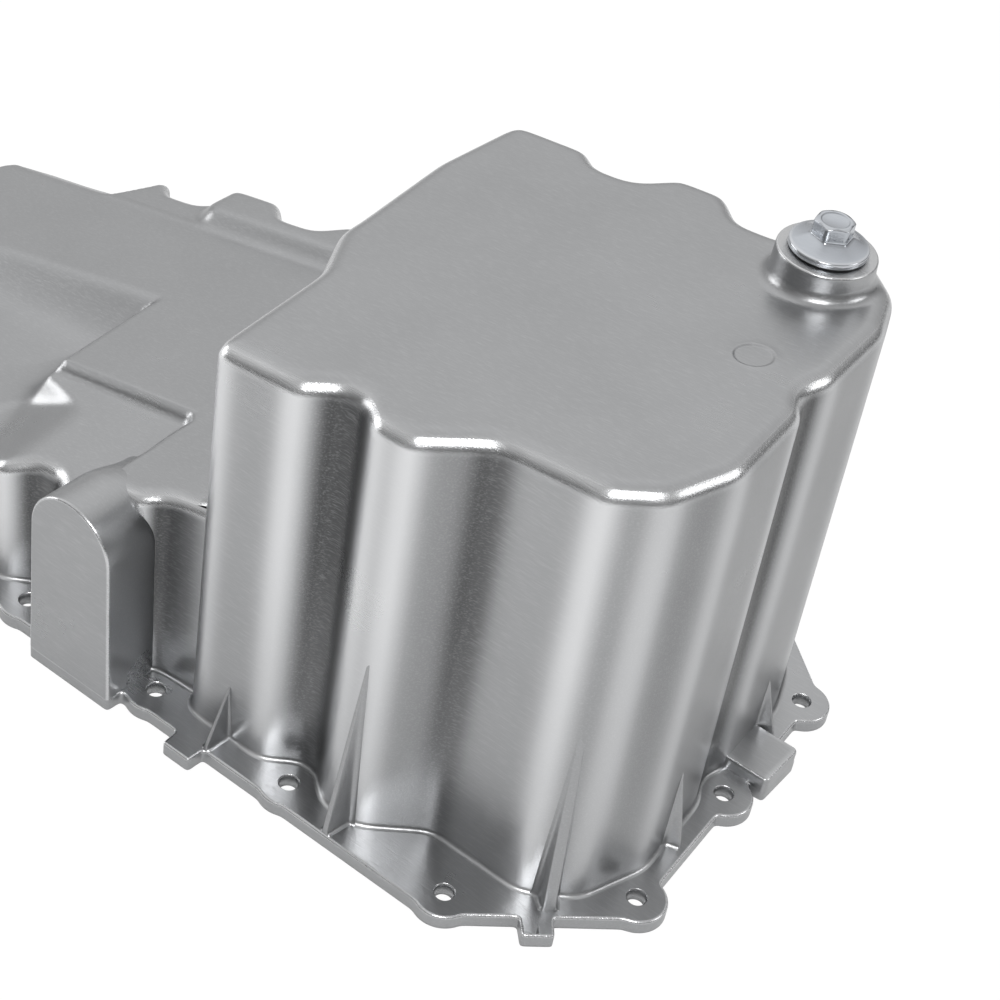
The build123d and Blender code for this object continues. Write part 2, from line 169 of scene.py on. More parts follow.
class Loop:
    """Closed plan outline with even spacing, running counterclockwise."""

    BLOCK = 4096

    def __init__(self, points: np.ndarray) -> None:
        """Keep the points and work out their outward normals.

        Args:
            points: Plan points in millimetres, one row each, without a repeated last point.
        """
        self.points = points
        along = np.roll(points, -1, axis=0) - np.roll(points, 1, axis=0)
        along /= np.linalg.norm(along, axis=1, keepdims=True)
        self.normals = np.stack([along[:, 1], -along[:, 0]], axis=1)

    @classmethod
    def rounded(cls, corners: list[Corner], spacing: float, soften: float = 0.0) -> Loop:
        """Outline of straight lines joined by an arc at each corner.

        Args:
            corners: (x, y, radius) of each corner, counterclockwise.
            spacing: Distance between the points of the result, in millimetres.
            soften: Width of the Gaussian that eases the change from line to arc, in millimetres.

        Returns:
            The outline as a loop.
        """
        data = np.array(corners)
        here = data[:, :2]
        to_before = np.roll(here, 1, axis=0) - here
        to_after = np.roll(here, -1, axis=0) - here
        len_before = np.linalg.norm(to_before, axis=1)
        len_after = np.linalg.norm(to_after, axis=1)
        a = to_before / len_before[:, None]
        b = to_after / len_after[:, None]
        half = 0.5 * np.arccos(np.clip(np.sum(a * b, axis=1), -1.0, 1.0))
        room = 0.48 * np.minimum(len_before, len_after)
        setback = np.minimum(data[:, 2] / np.tan(half), room)
        radius = setback * np.tan(half)
        axis = a + b
        axis /= np.linalg.norm(axis, axis=1, keepdims=True)
        centre = here + axis * (radius / np.sin(half))[:, None]
        first = here + a * setback[:, None] - centre
        last = here + b * setback[:, None] - centre
        start = np.arctan2(first[:, 1], first[:, 0])
        sweep = np.arctan2(last[:, 1], last[:, 0]) - start
        sweep = (sweep + math.pi) % (2.0 * math.pi) - math.pi
        steps = np.linspace(0.0, 1.0, 13)
        angle = start[:, None] + sweep[:, None] * steps[None, :]
        arc = np.stack([np.cos(angle), np.sin(angle)], axis=2) * radius[:, None, None]
        points = (centre[:, None, :] + arc).reshape(-1, 2)
        return cls(points).respaced(spacing).softened(soften)

    @property
    def spacing(self) -> float:
        """Distance between neighbouring points."""
        return np.linalg.norm(self.points[1] - self.points[0])

    def respaced(self, spacing: float) -> Loop:
        """Same outline with points at an even distance.

        Args:
            spacing: Distance between points, in millimetres.
        """
        closed = np.vstack([self.points, self.points[:1]])
        step = np.linalg.norm(np.diff(closed, axis=0), axis=1)
        keep = np.concatenate([[True], step > 1e-6])
        closed = closed[keep]
        run = np.concatenate([[0.0], np.cumsum(step[keep[1:]])])
        count = max(8, int(round(run[-1] / spacing)))
        at = np.linspace(0.0, run[-1], count, endpoint=False)
        return Loop(np.stack([np.interp(at, run, closed[:, k]) for k in (0, 1)], axis=1))

    def eased(self, values: np.ndarray, width: float) -> np.ndarray:
        """Values of the points after a Gaussian along the outline.

        Args:
            values: One value or one row of values for each point.
            width: Standard deviation in millimetres.

        Returns:
            The eased values, in the same shape.
        """
        count = len(values)
        offset = (np.arange(count) + count // 2) % count - count // 2
        kernel = np.exp(-0.5 * (offset * self.spacing / width) ** 2)
        kernel /= kernel.sum()
        share = np.fft.rfft(kernel).reshape((-1,) + (1,) * (values.ndim - 1))
        return np.fft.irfft(np.fft.rfft(values, axis=0) * share, count, axis=0)

    def softened(self, width: float) -> Loop:
        """Same outline eased by a Gaussian of a width in millimetres, or unchanged if it is 0."""
        return Loop(self.eased(self.points, width)) if width > 0.0 else self

    def bend(self, width: float) -> np.ndarray:
        """Turn of the outline for each millimetre, eased by a Gaussian, positive on ridges.

        Args:
            width: Standard deviation of the Gaussian in millimetres.

        Returns:
            One value for each point.
        """
        after = np.roll(self.normals, -1, axis=0)
        before = np.roll(self.normals, 1, axis=0)
        turn = np.arcsin(np.clip(before[:, 0] * after[:, 1] - before[:, 1] * after[:, 0], -1.0, 1.0))
        return self.eased(turn / (2.0 * self.spacing), width)

    def moved_in(self, amount: float) -> np.ndarray:
        """Points moved along the inward normal by an amount, out if negative."""
        return self.points - self.normals * amount

    def nearest(self, x: float, y: float) -> int:
        """Index of the point nearest to (x, y)."""
        return int(np.argmin(np.sum((self.points - (x, y)) ** 2, axis=1)))

    def depth(self, places: np.ndarray) -> np.ndarray:
        """Signed distance to the outline, positive inside.

        Args:
            places: Plan points of any grid shape, with x and y in the last axis.

        Returns:
            Distances in the grid's shape.
        """
        flat = places.reshape(-1, 2)
        a = self.points
        ab = np.roll(a, -1, axis=0) - a
        square = np.sum(ab * ab, axis=1)
        result = np.empty(len(flat))
        for low in range(0, len(flat), self.BLOCK):
            part = flat[low : low + self.BLOCK]
            ap = part[:, None, :] - a[None, :, :]
            t = np.clip(np.sum(ap * ab, axis=2) / square, 0.0, 1.0)
            gap = ap - t[:, :, None] * ab
            squared = np.sum(gap * gap, axis=2)
            best = np.argmin(squared, axis=1)
            rows = np.arange(len(part))
            side = ab[best, 0] * ap[rows, best, 1] - ab[best, 1] * ap[rows, best, 0]
            result[low : low + self.BLOCK] = np.sqrt(squared[rows, best]) * np.sign(side)
        return result.reshape(places.shape[:-1])


def grid_faces(rows: int, columns: int, wrap: bool, flip: bool = False) -> np.ndarray:
    """Quads of a grid of points stored row by row.

    Args:
        rows: Number of rows.
        columns: Number of columns.
        wrap: Whether the last column joins the first.
        flip: Whether the faces run the other way round.

    Returns:
        One row of four indices for each quad.
    """
    j = np.arange(columns if wrap else columns - 1)
    i = np.arange(rows - 1)
    a = i[:, None] * columns + j[None, :]
    b = i[:, None] * columns + (j[None, :] + 1) % columns
    quads = np.stack([a, b, b + columns, a + columns], axis=2).reshape(-1, 4)
    return quads[:, ::-1] if flip else quads


@dataclass
class Skin:
    """Mesh under construction: vertices in millimetres and polygons."""

    vertices: list[np.ndarray] = field(default_factory=list)
    faces: list[np.ndarray] = field(default_factory=list)
    wear_and_highlight: list[np.ndarray] = field(default_factory=list)
    painted_ridge_light: list[np.ndarray] = field(default_factory=list)
    count: int = 0

    def add(self, points: np.ndarray, faces: np.ndarray, wear_and_highlight: np.ndarray | float = 0.0,
            painted_ridge_light: np.ndarray | float = 0.0) -> None:
        """Add a patch.

        Args:
            points: Vertices, one row each.
            faces: Indices into those vertices, three or four to a row.
            wear_and_highlight: Edge rubbing of each vertex from 0 to 1, which the material also paints as a
                highlight, or one value for all.
            painted_ridge_light: How far each vertex lies on a flute's crest (1) or in its valley (-1); the
                material paints a highlight where it is positive and shade where it is negative.
        """
        self.vertices.append(points)
        self.faces.append(faces + self.count)
        self.wear_and_highlight.append(np.broadcast_to(wear_and_highlight, (len(points),)).astype(np.float32))
        self.painted_ridge_light.append(np.broadcast_to(painted_ridge_light, (len(points),)).astype(np.float32))
        self.count += len(points)

    def add_grid(self, grid: np.ndarray, wrap: bool, flip: bool = False, wear_and_highlight: np.ndarray | float = 0.0,
                 painted_ridge_light: np.ndarray | float = 0.0) -> None:
        """Add a grid of points of shape (rows, columns, 3).

        Args:
            grid: Points of the surface.
            wrap: Whether the last column joins the first.
            flip: Whether the faces run the other way round.
            wear_and_highlight: Edge rubbing on the same grid, also painted as a highlight, or one value for
                all.
            painted_ridge_light: Painted highlight on ridges and painted shade in valleys, on the same grid,
                or one value for all.
        """
        rows, columns = grid.shape[:2]
        worn_and_highlit = np.broadcast_to(wear_and_highlight, (rows, columns)).reshape(-1)
        ridged = np.broadcast_to(painted_ridge_light, (rows, columns)).reshape(-1)
        self.add(grid.reshape(-1, 3), grid_faces(rows, columns, wrap, flip), worn_and_highlit, ridged)

    def add_plan(self, plan: np.ndarray, z: np.ndarray, triangles: np.ndarray, flip: bool,
                 wear_and_highlight: np.ndarray | float = 0.0) -> None:
        """Add a height field over a plan.

        Args:
            plan: Plan points.
            z: Their heights.
            triangles: Triangles, counterclockwise from above.
            flip: Whether the faces look down.
            wear_and_highlight: Edge rubbing of the points, also painted as a highlight, or one value for all.
        """
        self.add(np.column_stack([plan, z]), triangles[:, ::-1] if flip else triangles, wear_and_highlight)

    def build(self, name: str) -> bpy.types.Object:
        """Make the object, in metres and in the row's frame, shaded smooth.

        Args:
            name: Name of the piece.

        Returns:
            The new object, linked to the scene.
        """
        points = np.concatenate(self.vertices)
        place = (points - (PLAN_MIDDLE_X, PLAN_MIDDLE_Y, 0.0)) * MILLIMETRE
        corners = np.concatenate([block.reshape(-1) for block in self.faces])
        sides = np.concatenate([np.full(len(block), block.shape[1]) for block in self.faces])
        mesh = bpy.data.meshes.new(name)
        mesh.vertices.add(len(place))
        mesh.vertices.foreach_set("co", place.astype(np.float32).reshape(-1))
        mesh.loops.add(len(corners))
        mesh.loops.foreach_set("vertex_index", corners.astype(np.int32))
        mesh.polygons.add(len(sides))
        mesh.polygons.foreach_set("loop_start", (np.cumsum(sides) - sides).astype(np.int32))
        mesh.polygons.foreach_set("use_smooth", np.full(len(sides), True))
        # edge_wear_and_highlight is edge rubbing plus a painted highlight on rounds; ridge is a painted
        # highlight on ridges and painted shade in valleys.
        for label, blocks in (("edge_wear_and_highlight", self.wear_and_highlight), ("painted_ridge_light", self.painted_ridge_light)):
            mark = mesh.attributes.new(label, "FLOAT", "POINT")
            mark.data.foreach_set("value", np.concatenate(blocks))
        mesh.update(calc_edges=True)
        mesh.validate()
        piece = bpy.data.objects.new(name, mesh)
        bpy.context.scene.collection.objects.link(piece)
        return piece


@dataclass
class Turning:
    """Turned surface under construction: each row has a radius, a height and its edge rubbing, which is also
    a painted highlight.

    Radius and height are one value for the whole turn, or one for each point round the axis.
    """

    segments: int
    rows: list[tuple[np.ndarray, np.ndarray, float]] = field(default_factory=list)

    @property
    def angle(self) -> np.ndarray:
        """Angles of the points round the axis."""
        return np.arange(self.segments) * (2.0 * math.pi / self.segments)

    def row(self, radius: np.ndarray | float, z: np.ndarray | float, worn_and_highlit: float = 0.0) -> None:
        """Add a row."""
        self.rows.append((np.broadcast_to(radius, self.segments), np.broadcast_to(z, self.segments), worn_and_highlit))

    def thread_wave(self, z: float, pitch: float) -> np.ndarray:
        """Triangle wave of (z / pitch - turn): 0 in a thread's groove, 1 on its crest."""
        turn = np.arange(self.segments) / self.segments
        return np.abs(((z / pitch - turn) % 1.0) * 2.0 - 1.0)

    def add_to(self, skin: Skin, x: float, y: float, base_z: float = 0.0, flip: bool = False) -> None:
        """Add the surface to a mesh.

        Args:
            skin: Mesh that takes it.
            x: Place of the axis along X.
            y: Place of the axis along Y.
            base_z: Height that the rows are measured from.
            flip: Whether the faces look at the axis.
        """
        radius = np.stack([row[0] for row in self.rows])
        height = np.stack([row[1] for row in self.rows]) + base_z
        grid = np.stack([x + radius * np.cos(self.angle), y + radius * np.sin(self.angle), height], axis=2)
        skin.add_grid(grid, True, flip, np.array([row[2] for row in self.rows])[:, None])


def report(piece: bpy.types.Object) -> None:
    """Log a piece's name and its number of faces."""
    LOG.info("%s: %d faces", piece.name, len(piece.data.polygons))


def bay(bolt_x: float, mouth: float, half: float, bay_y: float, left_y: float, right_y: float,
        mouth_r: float = 7.0, bay_r: float = 5.0) -> list[Corner]:
    """Corners, left to right, of the hollow that a long wall makes round one bolt.

    Args:
        bolt_x: Place of the bolt along the wall.
        mouth: Half width of the hollow at the wall's line.
        half: Half width of its flat back.
        bay_y: Place of that back.
        left_y: Place of the wall's line to the left of it.
        right_y: Place of the wall's line to the right of it.
        mouth_r: Radius of the corners at the wall's line.
        bay_r: Radius of the corners at the back.

    Returns:
        Four corners as (x, y, radius).
    """
    return [
        (bolt_x - mouth, left_y, mouth_r),
        (bolt_x - half, bay_y, bay_r),
        (bolt_x + half, bay_y, bay_r),
        (bolt_x + mouth, right_y, mouth_r),
    ]


def tray_corners() -> list[Corner]:
    """Plan outline of the shallow tray's wall at the flange, closed under the sump."""
    corners: list[Corner] = [(-394.5, 18.3, 8.0), (-355.5, 18.3, 7.0)]
    for index in (5, 4, 3, 2):
        y = 1.4 + 0.1 * (index % 2)
        corners += bay(SIZES.near_bolts_x[index], 15.5, 5.0, 9.2, y, y)
    corners[-1] = (-122.5, 9.2, 5.0)
    corners += [(-104.0, 9.2, 8.0), (-104.0, 190.0, 8.0)]
    far: list[Corner] = []
    for index, left_y, right_y in ((2, 204.6, 200.5), (3, 204.2, 204.4), (4, 204.6, 204.6)):
        far += bay(SIZES.far_bolts_x[index], 20.0, 9.0, 193.0, left_y, right_y, 7.0, 7.0)[::-1]
    corners += far[1:]
    corners += [(-354.0, 204.0, 7.0), (-366.0, 191.5, 7.0), (-390.0, 191.5, 8.0), (-404.0, 183.0, 9.0)]
    corners += [(-410.0, 171.0, 9.0), (-413.2, 158.0, 8.0), (-415.4, 121.0, 8.0), (-412.0, 109.0, 8.0)]
    corners += [(-417.4, 98.0, 7.5), (-420.8, 57.0, 7.5), (-416.4, 44.6, 7.5), (-411.6, 30.6, 7.5)]
    return corners


def sump_corners() -> list[Corner]:
    """Plan outline of the sump's wall at the flange."""
    corners: list[Corner] = [(-125.5, 1.2, 8.0)]
    corners += bay(SIZES.near_bolts_x[1], 15.0, 3.5, 10.8, 1.2, 1.3, 7.5, 6.0)
    corners += [(-41.5, 1.3, 7.5), (-20.5, 18.3, 7.0), (18.5, 18.3, 8.0)]
    corners += [(35.6, 30.6, 7.5), (40.4, 44.6, 7.5), (44.8, 57.0, 7.5), (41.4, 98.0, 7.5)]
    corners += [(36.0, 106.5, 7.5), (36.6, 113.0, 8.0), (39.4, 121.0, 8.0), (37.2, 160.0, 10.0)]
    corners += [(28.0, 184.0, 12.0), (9.0, 202.0, 10.0)]
    corners += [(-8.0, 204.5, 8.0), (-22.0, 191.8, 7.0), (-40.0, 191.8, 7.0), (-54.0, 206.0, 7.5)]
    corners += [(-76.0, 206.0, 7.5), (-88.0, 192.0, 7.0), (-103.0, 192.0, 7.0), (-112.0, 200.5, 8.0)]
    corners += [(-149.5, 200.5, 9.0), (-151.5, 152.0, 30.0), (-145.0, 98.0, 12.0)]
    corners += [(-144.5, 88.0, 10.0), (-131.0, 62.0, 10.0)]
    return corners


@dataclass(frozen=True)
class Ring:
    """Circle that a height field follows closely: its radii, and whether it is open inside."""

    x: float
    y: float
    radii: tuple[float, ...]
    is_open: bool = False
    segments: int = 96

    def points(self, radius: float) -> np.ndarray:
        """Plan points of the circle of the given radius."""
        angle = np.arange(self.segments) * (2.0 * math.pi / self.segments)
        return np.stack([self.x + radius * np.cos(angle), self.y + radius * np.sin(angle)], axis=1)


def fill_plan(outer: np.ndarray, holes: list[np.ndarray], loose: np.ndarray) -> tuple[np.ndarray, np.ndarray]:
    """Triangles between an outline and its holes, through loose points as well.

    Args:
        outer: Points of the outline, counterclockwise; they come first among the vertices.
        holes: Outlines of the holes, counterclockwise.
        loose: Further points, all of them between outline and holes.

    Returns:
        Plan points and triangles, counterclockwise from above.
    """
    edges = []
    total = 0
    for block in [outer, *holes]:
        index = np.arange(len(block)) + total
        edges.append(np.stack([index, np.roll(index, -1)], axis=1))
        total += len(block)
    coords = [Vector(pair) for pair in np.concatenate([outer, *holes, loose]).tolist()]
    result = delaunay_2d_cdt(coords, np.concatenate(edges).tolist(), [], 0, 1e-5)
    plan = np.array([tuple(v) for v in result[0]])
    triangles = np.array(result[2])
    middle = plan[triangles].mean(axis=1)
    inside = Loop(outer).depth(middle) > 0.0
    for hole in holes:
        near = np.linalg.norm(middle - hole.mean(axis=0), axis=1) < np.ptp(hole, axis=0).max()
        checked = np.flatnonzero(inside & near)
        inside[checked] = Loop(hole).depth(middle[checked]) < 0.0
    triangles = triangles[inside]
    a, b, c = (plan[triangles[:, k]] for k in range(3))
    turn = (b - a)[:, 0] * (c - a)[:, 1] - (b - a)[:, 1] * (c - a)[:, 0]
    triangles[turn < 0.0] = triangles[turn < 0.0][:, ::-1]
    return plan, triangles


def plan_mesh(boundary: np.ndarray, offsets: tuple[float, ...], spacing: float,
              rings: tuple[Ring, ...] = ()) -> tuple[np.ndarray, np.ndarray]:
    """Triangles that fill a plan outline: rows along it, then an even grid inside.

    Args:
        boundary: Points of the outline, counterclockwise; they are kept, in order, as the first vertices.
        offsets: Distances inside the outline of the rows that follow it.
        spacing: Step of the grid inside.
        rings: Circles to follow closely inside the outline.

    Returns:
        Plan points and triangles, counterclockwise from above.
    """
    outline = Loop(boundary)
    low = boundary.min(axis=0)
    high = boundary.max(axis=0)
    holes = [ring.points(ring.radii[0]) for ring in rings if ring.is_open]
    loose = [outline.moved_in(offset) for offset in offsets]
    limits = [0.8 * offset for offset in offsets]
    for ring in rings:
        rows = [ring.points(radius) for radius in ring.radii[int(ring.is_open) :]]
        loose += rows
        limits += [0.3] * len(rows)
    kept = []
    for block, limit in zip(loose, limits):
        keep = outline.depth(block) > limit
        for ring in rings:
            if ring.is_open:
                keep &= np.hypot(block[:, 0] - ring.x, block[:, 1] - ring.y) > ring.radii[0] + 0.05
        kept.append(block[keep])
    across = np.arange(low[0], high[0], spacing)
    along = np.arange(low[1], high[1], spacing)
    grid = np.stack(np.meshgrid(across, along), axis=2).reshape(-1, 2)
    keep = outline.depth(grid) > (offsets[-1] if offsets else 0.0) + 0.6 * spacing
    for ring in rings:
        away = np.hypot(grid[:, 0] - ring.x, grid[:, 1] - ring.y)
        inner_r = 0.0 if ring.is_open else ring.radii[0]
        keep &= (away > ring.radii[-1] + 0.5 * spacing) | (away < inner_r - 0.5 * spacing)
    kept.append(grid[keep])
    return fill_plan(boundary, holes, np.concatenate(kept))


def soft_ramp(distance: np.ndarray, radius: float) -> np.ndarray:
    """Distance where it is positive, 0 where negative, joined by a hyperbola: (d + sqrt(d^2 + r^2)) / 2."""
    return 0.5 * (distance + np.sqrt(distance * distance + radius * radius))


@dataclass(frozen=True)
class TrayFloor:
    """Height of the shallow tray's top: a sloping plateau with a rail, a step, a ramp and a pocket."""

    rail_rise: float = 7.0
    rail_end_x: float = -292.0
    rail_y: float = 178.0
    rail_corner_r: float = 10.0
    rail_steep: float = 1.15
    step: tuple[float, float, float] = (-254.0, -176.5, 54.5)
    step_depth: float = 5.6
    step_steep: float = 2.6
    step_fall: float = 0.144
    ramp_x: float = -222.0
    ramp_left_x: float = -262.0
    ramp_far_y: float = 44.0
    ramp_fall: float = 0.38
    ramp_steep: float = 1.5
    pocket_far_y: float = 105.0
    pocket_edge_y: tuple[float, ...] = (-60.0, 4.0, 28.0, 52.0, 105.0, 130.0)
    pocket_edge_x: tuple[float, ...] = (-236.0, -237.0, -244.0, -256.5, -262.0, -263.0)
    pocket_depth: float = 35.0
    pocket_fall: float = 0.06
    pocket_steep: float = 1.9
    shoulder_x: float = -343.0
    shoulder_y: float = 173.5
    shoulder_fall: float = 0.6
    shoulder_steep: float = 1.2
    crease_y: float = 174.6
    crease_h: float = 0.35

    def outside_box(self, places: np.ndarray, left: float, right: float, far: float,
                    corner: float) -> np.ndarray:
        """Signed distance to a box that is open on the near side, positive outside.

        Args:
            places: Plan points, x and y in the last axis.
            left: Left side of the box.
            right: Right side of the box.
            far: Far side of the box.
            corner: Radius of its far corners.

        Returns:
            Distances in the grid's shape.
        """
        half = 0.5 * (right - left)
        across = np.abs(places[..., 0] - 0.5 * (left + right)) - half + corner
        along = places[..., 1] - far + corner
        outer = np.hypot(np.maximum(across, 0.0), np.maximum(along, 0.0))
        return outer + np.minimum(np.maximum(across, along), 0.0) - corner

    def height(self, places: np.ndarray) -> np.ndarray:
        """Height of the tray's top at plan points.

        The plateau is a plane. The rail is raised over it by a smooth maximum with its own plane less a
        slope outside it, and each recess is a smooth minimum with its floor plus a slope outside it.

        Args:
            places: Plan points, x and y in the last axis.

        Returns:
            Heights over the gasket face, in the grid's shape.
        """
        x = places[..., 0]
        y = places[..., 1]
        plateau = SIZES.tray_z + SIZES.tray_slope * x
        short_x = np.maximum(self.rail_end_x + self.rail_corner_r - x, 0.0)
        short_y = np.maximum(self.rail_y + self.rail_corner_r - y, 0.0)
        past_rail = np.hypot(short_x, short_y) - self.rail_corner_r
        rail = plateau + self.rail_rise - self.rail_steep * soft_ramp(past_rail + 3.0, 1.5)
        z = -smooth_min(-plateau, -rail, 2.5)
        left, right, far = self.step
        step = plateau - self.step_depth - self.step_fall * (far - y)
        beside = self.outside_box(places, left, right, far, 4.0)
        z = smooth_min(z, step + self.step_steep * soft_ramp(beside, 0.9), 1.0)
        pocket = plateau - self.pocket_depth - self.pocket_fall * x
        ramp = -smooth_min(-(step + self.ramp_fall * (x - self.ramp_x)), -pocket, 6.0)
        beside = self.outside_box(places, self.ramp_left_x, self.ramp_x + 30.0, self.ramp_far_y, 9.0)
        z = smooth_min(z, ramp + self.ramp_steep * soft_ramp(beside, 3.0), 2.5)
        right_of = x - np.interp(y, self.pocket_edge_y, self.pocket_edge_x)
        far_of = y - self.pocket_far_y + 9.0
        slope = np.maximum(self.pocket_steep * soft_ramp(right_of, 5.0), soft_ramp(far_of, 9.0))
        z = smooth_min(z, pocket + slope, 3.0)
        fall = plateau - self.shoulder_fall * (y - self.shoulder_y)
        z = smooth_min(z, fall + self.shoulder_steep * soft_ramp(x - self.shoulder_x, 3.0), 2.0)
        crease = np.exp(-(((y - self.crease_y) / 1.1) ** 2))
        return z + self.crease_h * crease * smoothstep(-150.0, -160.0, x)


@dataclass(frozen=True)
class SumpFloor:
    """Height of the sump's top: a sloping plane with a round ejector mark sunk in it."""

    mark_x: float = 11.0
    mark_y: float = 114.0
    mark_r: float = 6.6
    mark_depth: float = 0.5

    def height(self, places: np.ndarray) -> np.ndarray:
        """Height of the sump's top at plan points.

        Args:
            places: Plan points, x and y in the last axis.

        Returns:
            Heights over the gasket face, in the grid's shape.
        """
        x = places[..., 0]
        away = np.hypot(x - self.mark_x, places[..., 1] - self.mark_y)
        mark = smoothstep(self.mark_r + 0.25, self.mark_r - 0.25, away)
        lip = 0.12 * np.exp(-(((away - self.mark_r - 0.7) / 0.5) ** 2))
        return SIZES.sump_floor_z + SIZES.sump_slope * x - self.mark_depth * mark + lip


@dataclass(frozen=True)
class Shell:
    """One side of a drafted wall and the round over its rim, round a plan outline.

    The wall leans in by the draft, and the rim is a quarter circle under the floor's height: at a depth d
    inside the wall's top the surface lies R - sqrt(R^2 - (R - d)^2) under the floor.
    """

    outline: Loop
    floor: TrayFloor | SumpFloor
    drop: float
    rim_r: float
    turn_deg: float = 52.0
    wall_rows: int = 12
    sample_inset: float = 4.0

    def lean(self, places: np.ndarray) -> np.ndarray:
        """Inset of the wall where its rim starts, at plan points."""
        return (self.floor.height(places) - self.drop - self.rim_r) * SIZES.draft

    def height(self, places: np.ndarray) -> np.ndarray:
        """Height of the floor and its round rim at plan points inside the wall.

        Args:
            places: Plan points, x and y in the last axis.

        Returns:
            Heights over the gasket face, in the grid's shape.
        """
        inside = self.outline.depth(places) - self.lean(places)
        short = np.clip(self.rim_r - inside, 0.0, self.rim_r)
        sink = self.rim_r - np.sqrt(np.maximum(self.rim_r**2 - short**2, 0.0))
        return self.floor.height(places) - self.drop - sink

    def rim_wear_and_highlight(self, plan: np.ndarray, middle: float, width: float) -> np.ndarray:
        """Edge rubbing and painted highlight on the floor's rim: a Gaussian of the distance to the wall,
        round a middle distance.
        """
        return np.exp(-(((self.outline.depth(plan) - middle) / width) ** 2))

    def ridges(self, worn_and_highlit: np.ndarray) -> np.ndarray:
        """Painted light of the wall's columns: a painted highlight on ridges and painted shade in valleys,
        fading out over the rim.

        The mark is the eased bend of the outline, held between -1 and 1; walls that look to the drain end are
        painted a shade darker. Both are weaker towards the wall's foot.

        Args:
            worn_and_highlit: Edge rubbing and painted highlight of the wall's grid, whose shape the marks
                take.

        Returns:
            Marks from -1, painted shade in a valley, to 1, painted highlight on a crest.
        """
        # Painted shade on walls that face the drain end, then the painted light's fade up the wall and over
        # the rim.
        painted_drain_end_shade = 0.34 * smoothstep(0.35, 0.75, self.outline.normals[:, 0])
        across = np.clip(np.tanh(self.outline.bend(2.6) * 20.0) - painted_drain_end_shade, -1.0, 1.0)
        rows = len(worn_and_highlit)
        level = np.arange(rows)
        fade = np.clip((rows - 1 - level) / 5.0, 0.0, 1.0) * (0.45 + 0.55 * np.clip(level / 12.0, 0.0, 1.0))
        return fade[:, None] * across[None, :]

    def wall(self, start_z: np.ndarray, foot_r: np.ndarray) -> tuple[np.ndarray, np.ndarray]:
        """Grid of the wall from its foot to a part of the way round the rim.

        Args:
            start_z: Height where each column starts.
            foot_r: Radius of each column's fillet at the foot, all 0 for none.

        Returns:
            Points of shape (rows, columns, 3) and edge rubbing with its painted highlight on the same grid.
        """
        base = self.outline.points
        out = self.outline.normals
        lean = self.lean(base - out * self.sample_inset)
        top = self.floor.height(base - out * lean[:, None]) - self.drop - self.rim_r
        levels: list[np.ndarray] = []
        worn_and_highlit: list[float] = []
        flared = bool(np.max(foot_r) > 0.0)
        if flared:
            for angle in np.linspace(0.0, 0.5 * math.pi, 6):
                inset = start_z * SIZES.draft - foot_r * (1.0 - math.sin(angle))
                z = start_z + foot_r * (1.0 - math.cos(angle))
                levels.append(np.column_stack([base - out * inset[:, None], z]))
                worn_and_highlit.append(0.0)
        first = start_z + foot_r
        for share in np.linspace(0.0, 1.0, self.wall_rows)[int(flared) :]:
            z = first + (np.maximum(top, first) - first) * share
            levels.append(np.column_stack([base - out * (z * SIZES.draft)[:, None], z]))
            worn_and_highlit.append(0.0)
        for angle in np.radians(np.linspace(0.0, self.turn_deg, 9))[1:]:
            inset = lean + self.rim_r * (1.0 - math.cos(angle))
            plan = base - out * inset[:, None]
            z = self.floor.height(plan) - self.drop - self.rim_r * (1.0 - math.sin(angle))
            levels.append(np.column_stack([plan, z]))
            # The rim's round gets edge rubbing with a painted highlight, strongest at 45 degrees.
            worn_and_highlit.append(math.sin(2.0 * angle) ** 2)
        grid = np.stack(levels)
        grid[-1, :, 2] = self.height(grid[-1, :, :2])
        return grid, np.repeat(np.array(worn_and_highlit)[:, None], len(base), axis=1)


@dataclass(frozen=True)
class Side:
    """One side of the castings' wall: where it lies, what it hides and how finely it is meshed.

    A column of the sump's wall that stands more than covered inside the tray's outline starts hidden under
    the tray's top, and the tray's floor runs in under the sump's wall by overlap. A cliff_r below 0 turns
    the fillet between floor and sump downwards.
    """

    inset: float
    start_z: float
    foot_r: float
    covered_foot_r: float
    covered: float
    hidden: float
    overlap: float
    sump_rows: tuple[float, ...]
    sump_spacing: float
    tray_rows: tuple[float, ...]
    tray_spacing: float
    cliff_r: float

    @property
    def looks_in(self) -> bool:
        """Whether this is the inner side."""
        return self.inset > 0.0


OUTSIDE = Side(
    inset=0.0, start_z=SIZES.flange_t, foot_r=SIZES.foot_r, covered_foot_r=0.03,
    covered=3.0, hidden=3.0, overlap=3.0,
    sump_rows=(0.7, 1.5, 2.5, 3.6, 4.8), sump_spacing=2.2,
    tray_rows=(0.7, 1.5, 2.5, 3.6), tray_spacing=1.5,
    cliff_r=SIZES.cliff_fillet_r,
)
INSIDE = Side(
    inset=SIZES.wall_t, start_z=0.0, foot_r=0.0, covered_foot_r=0.0,
    covered=0.2, hidden=0.3, overlap=0.2,
    sump_rows=(1.0, 2.2), sump_spacing=4.0,
    tray_rows=(1.0, 2.2), tray_spacing=3.5,
    cliff_r=-2.0,
)


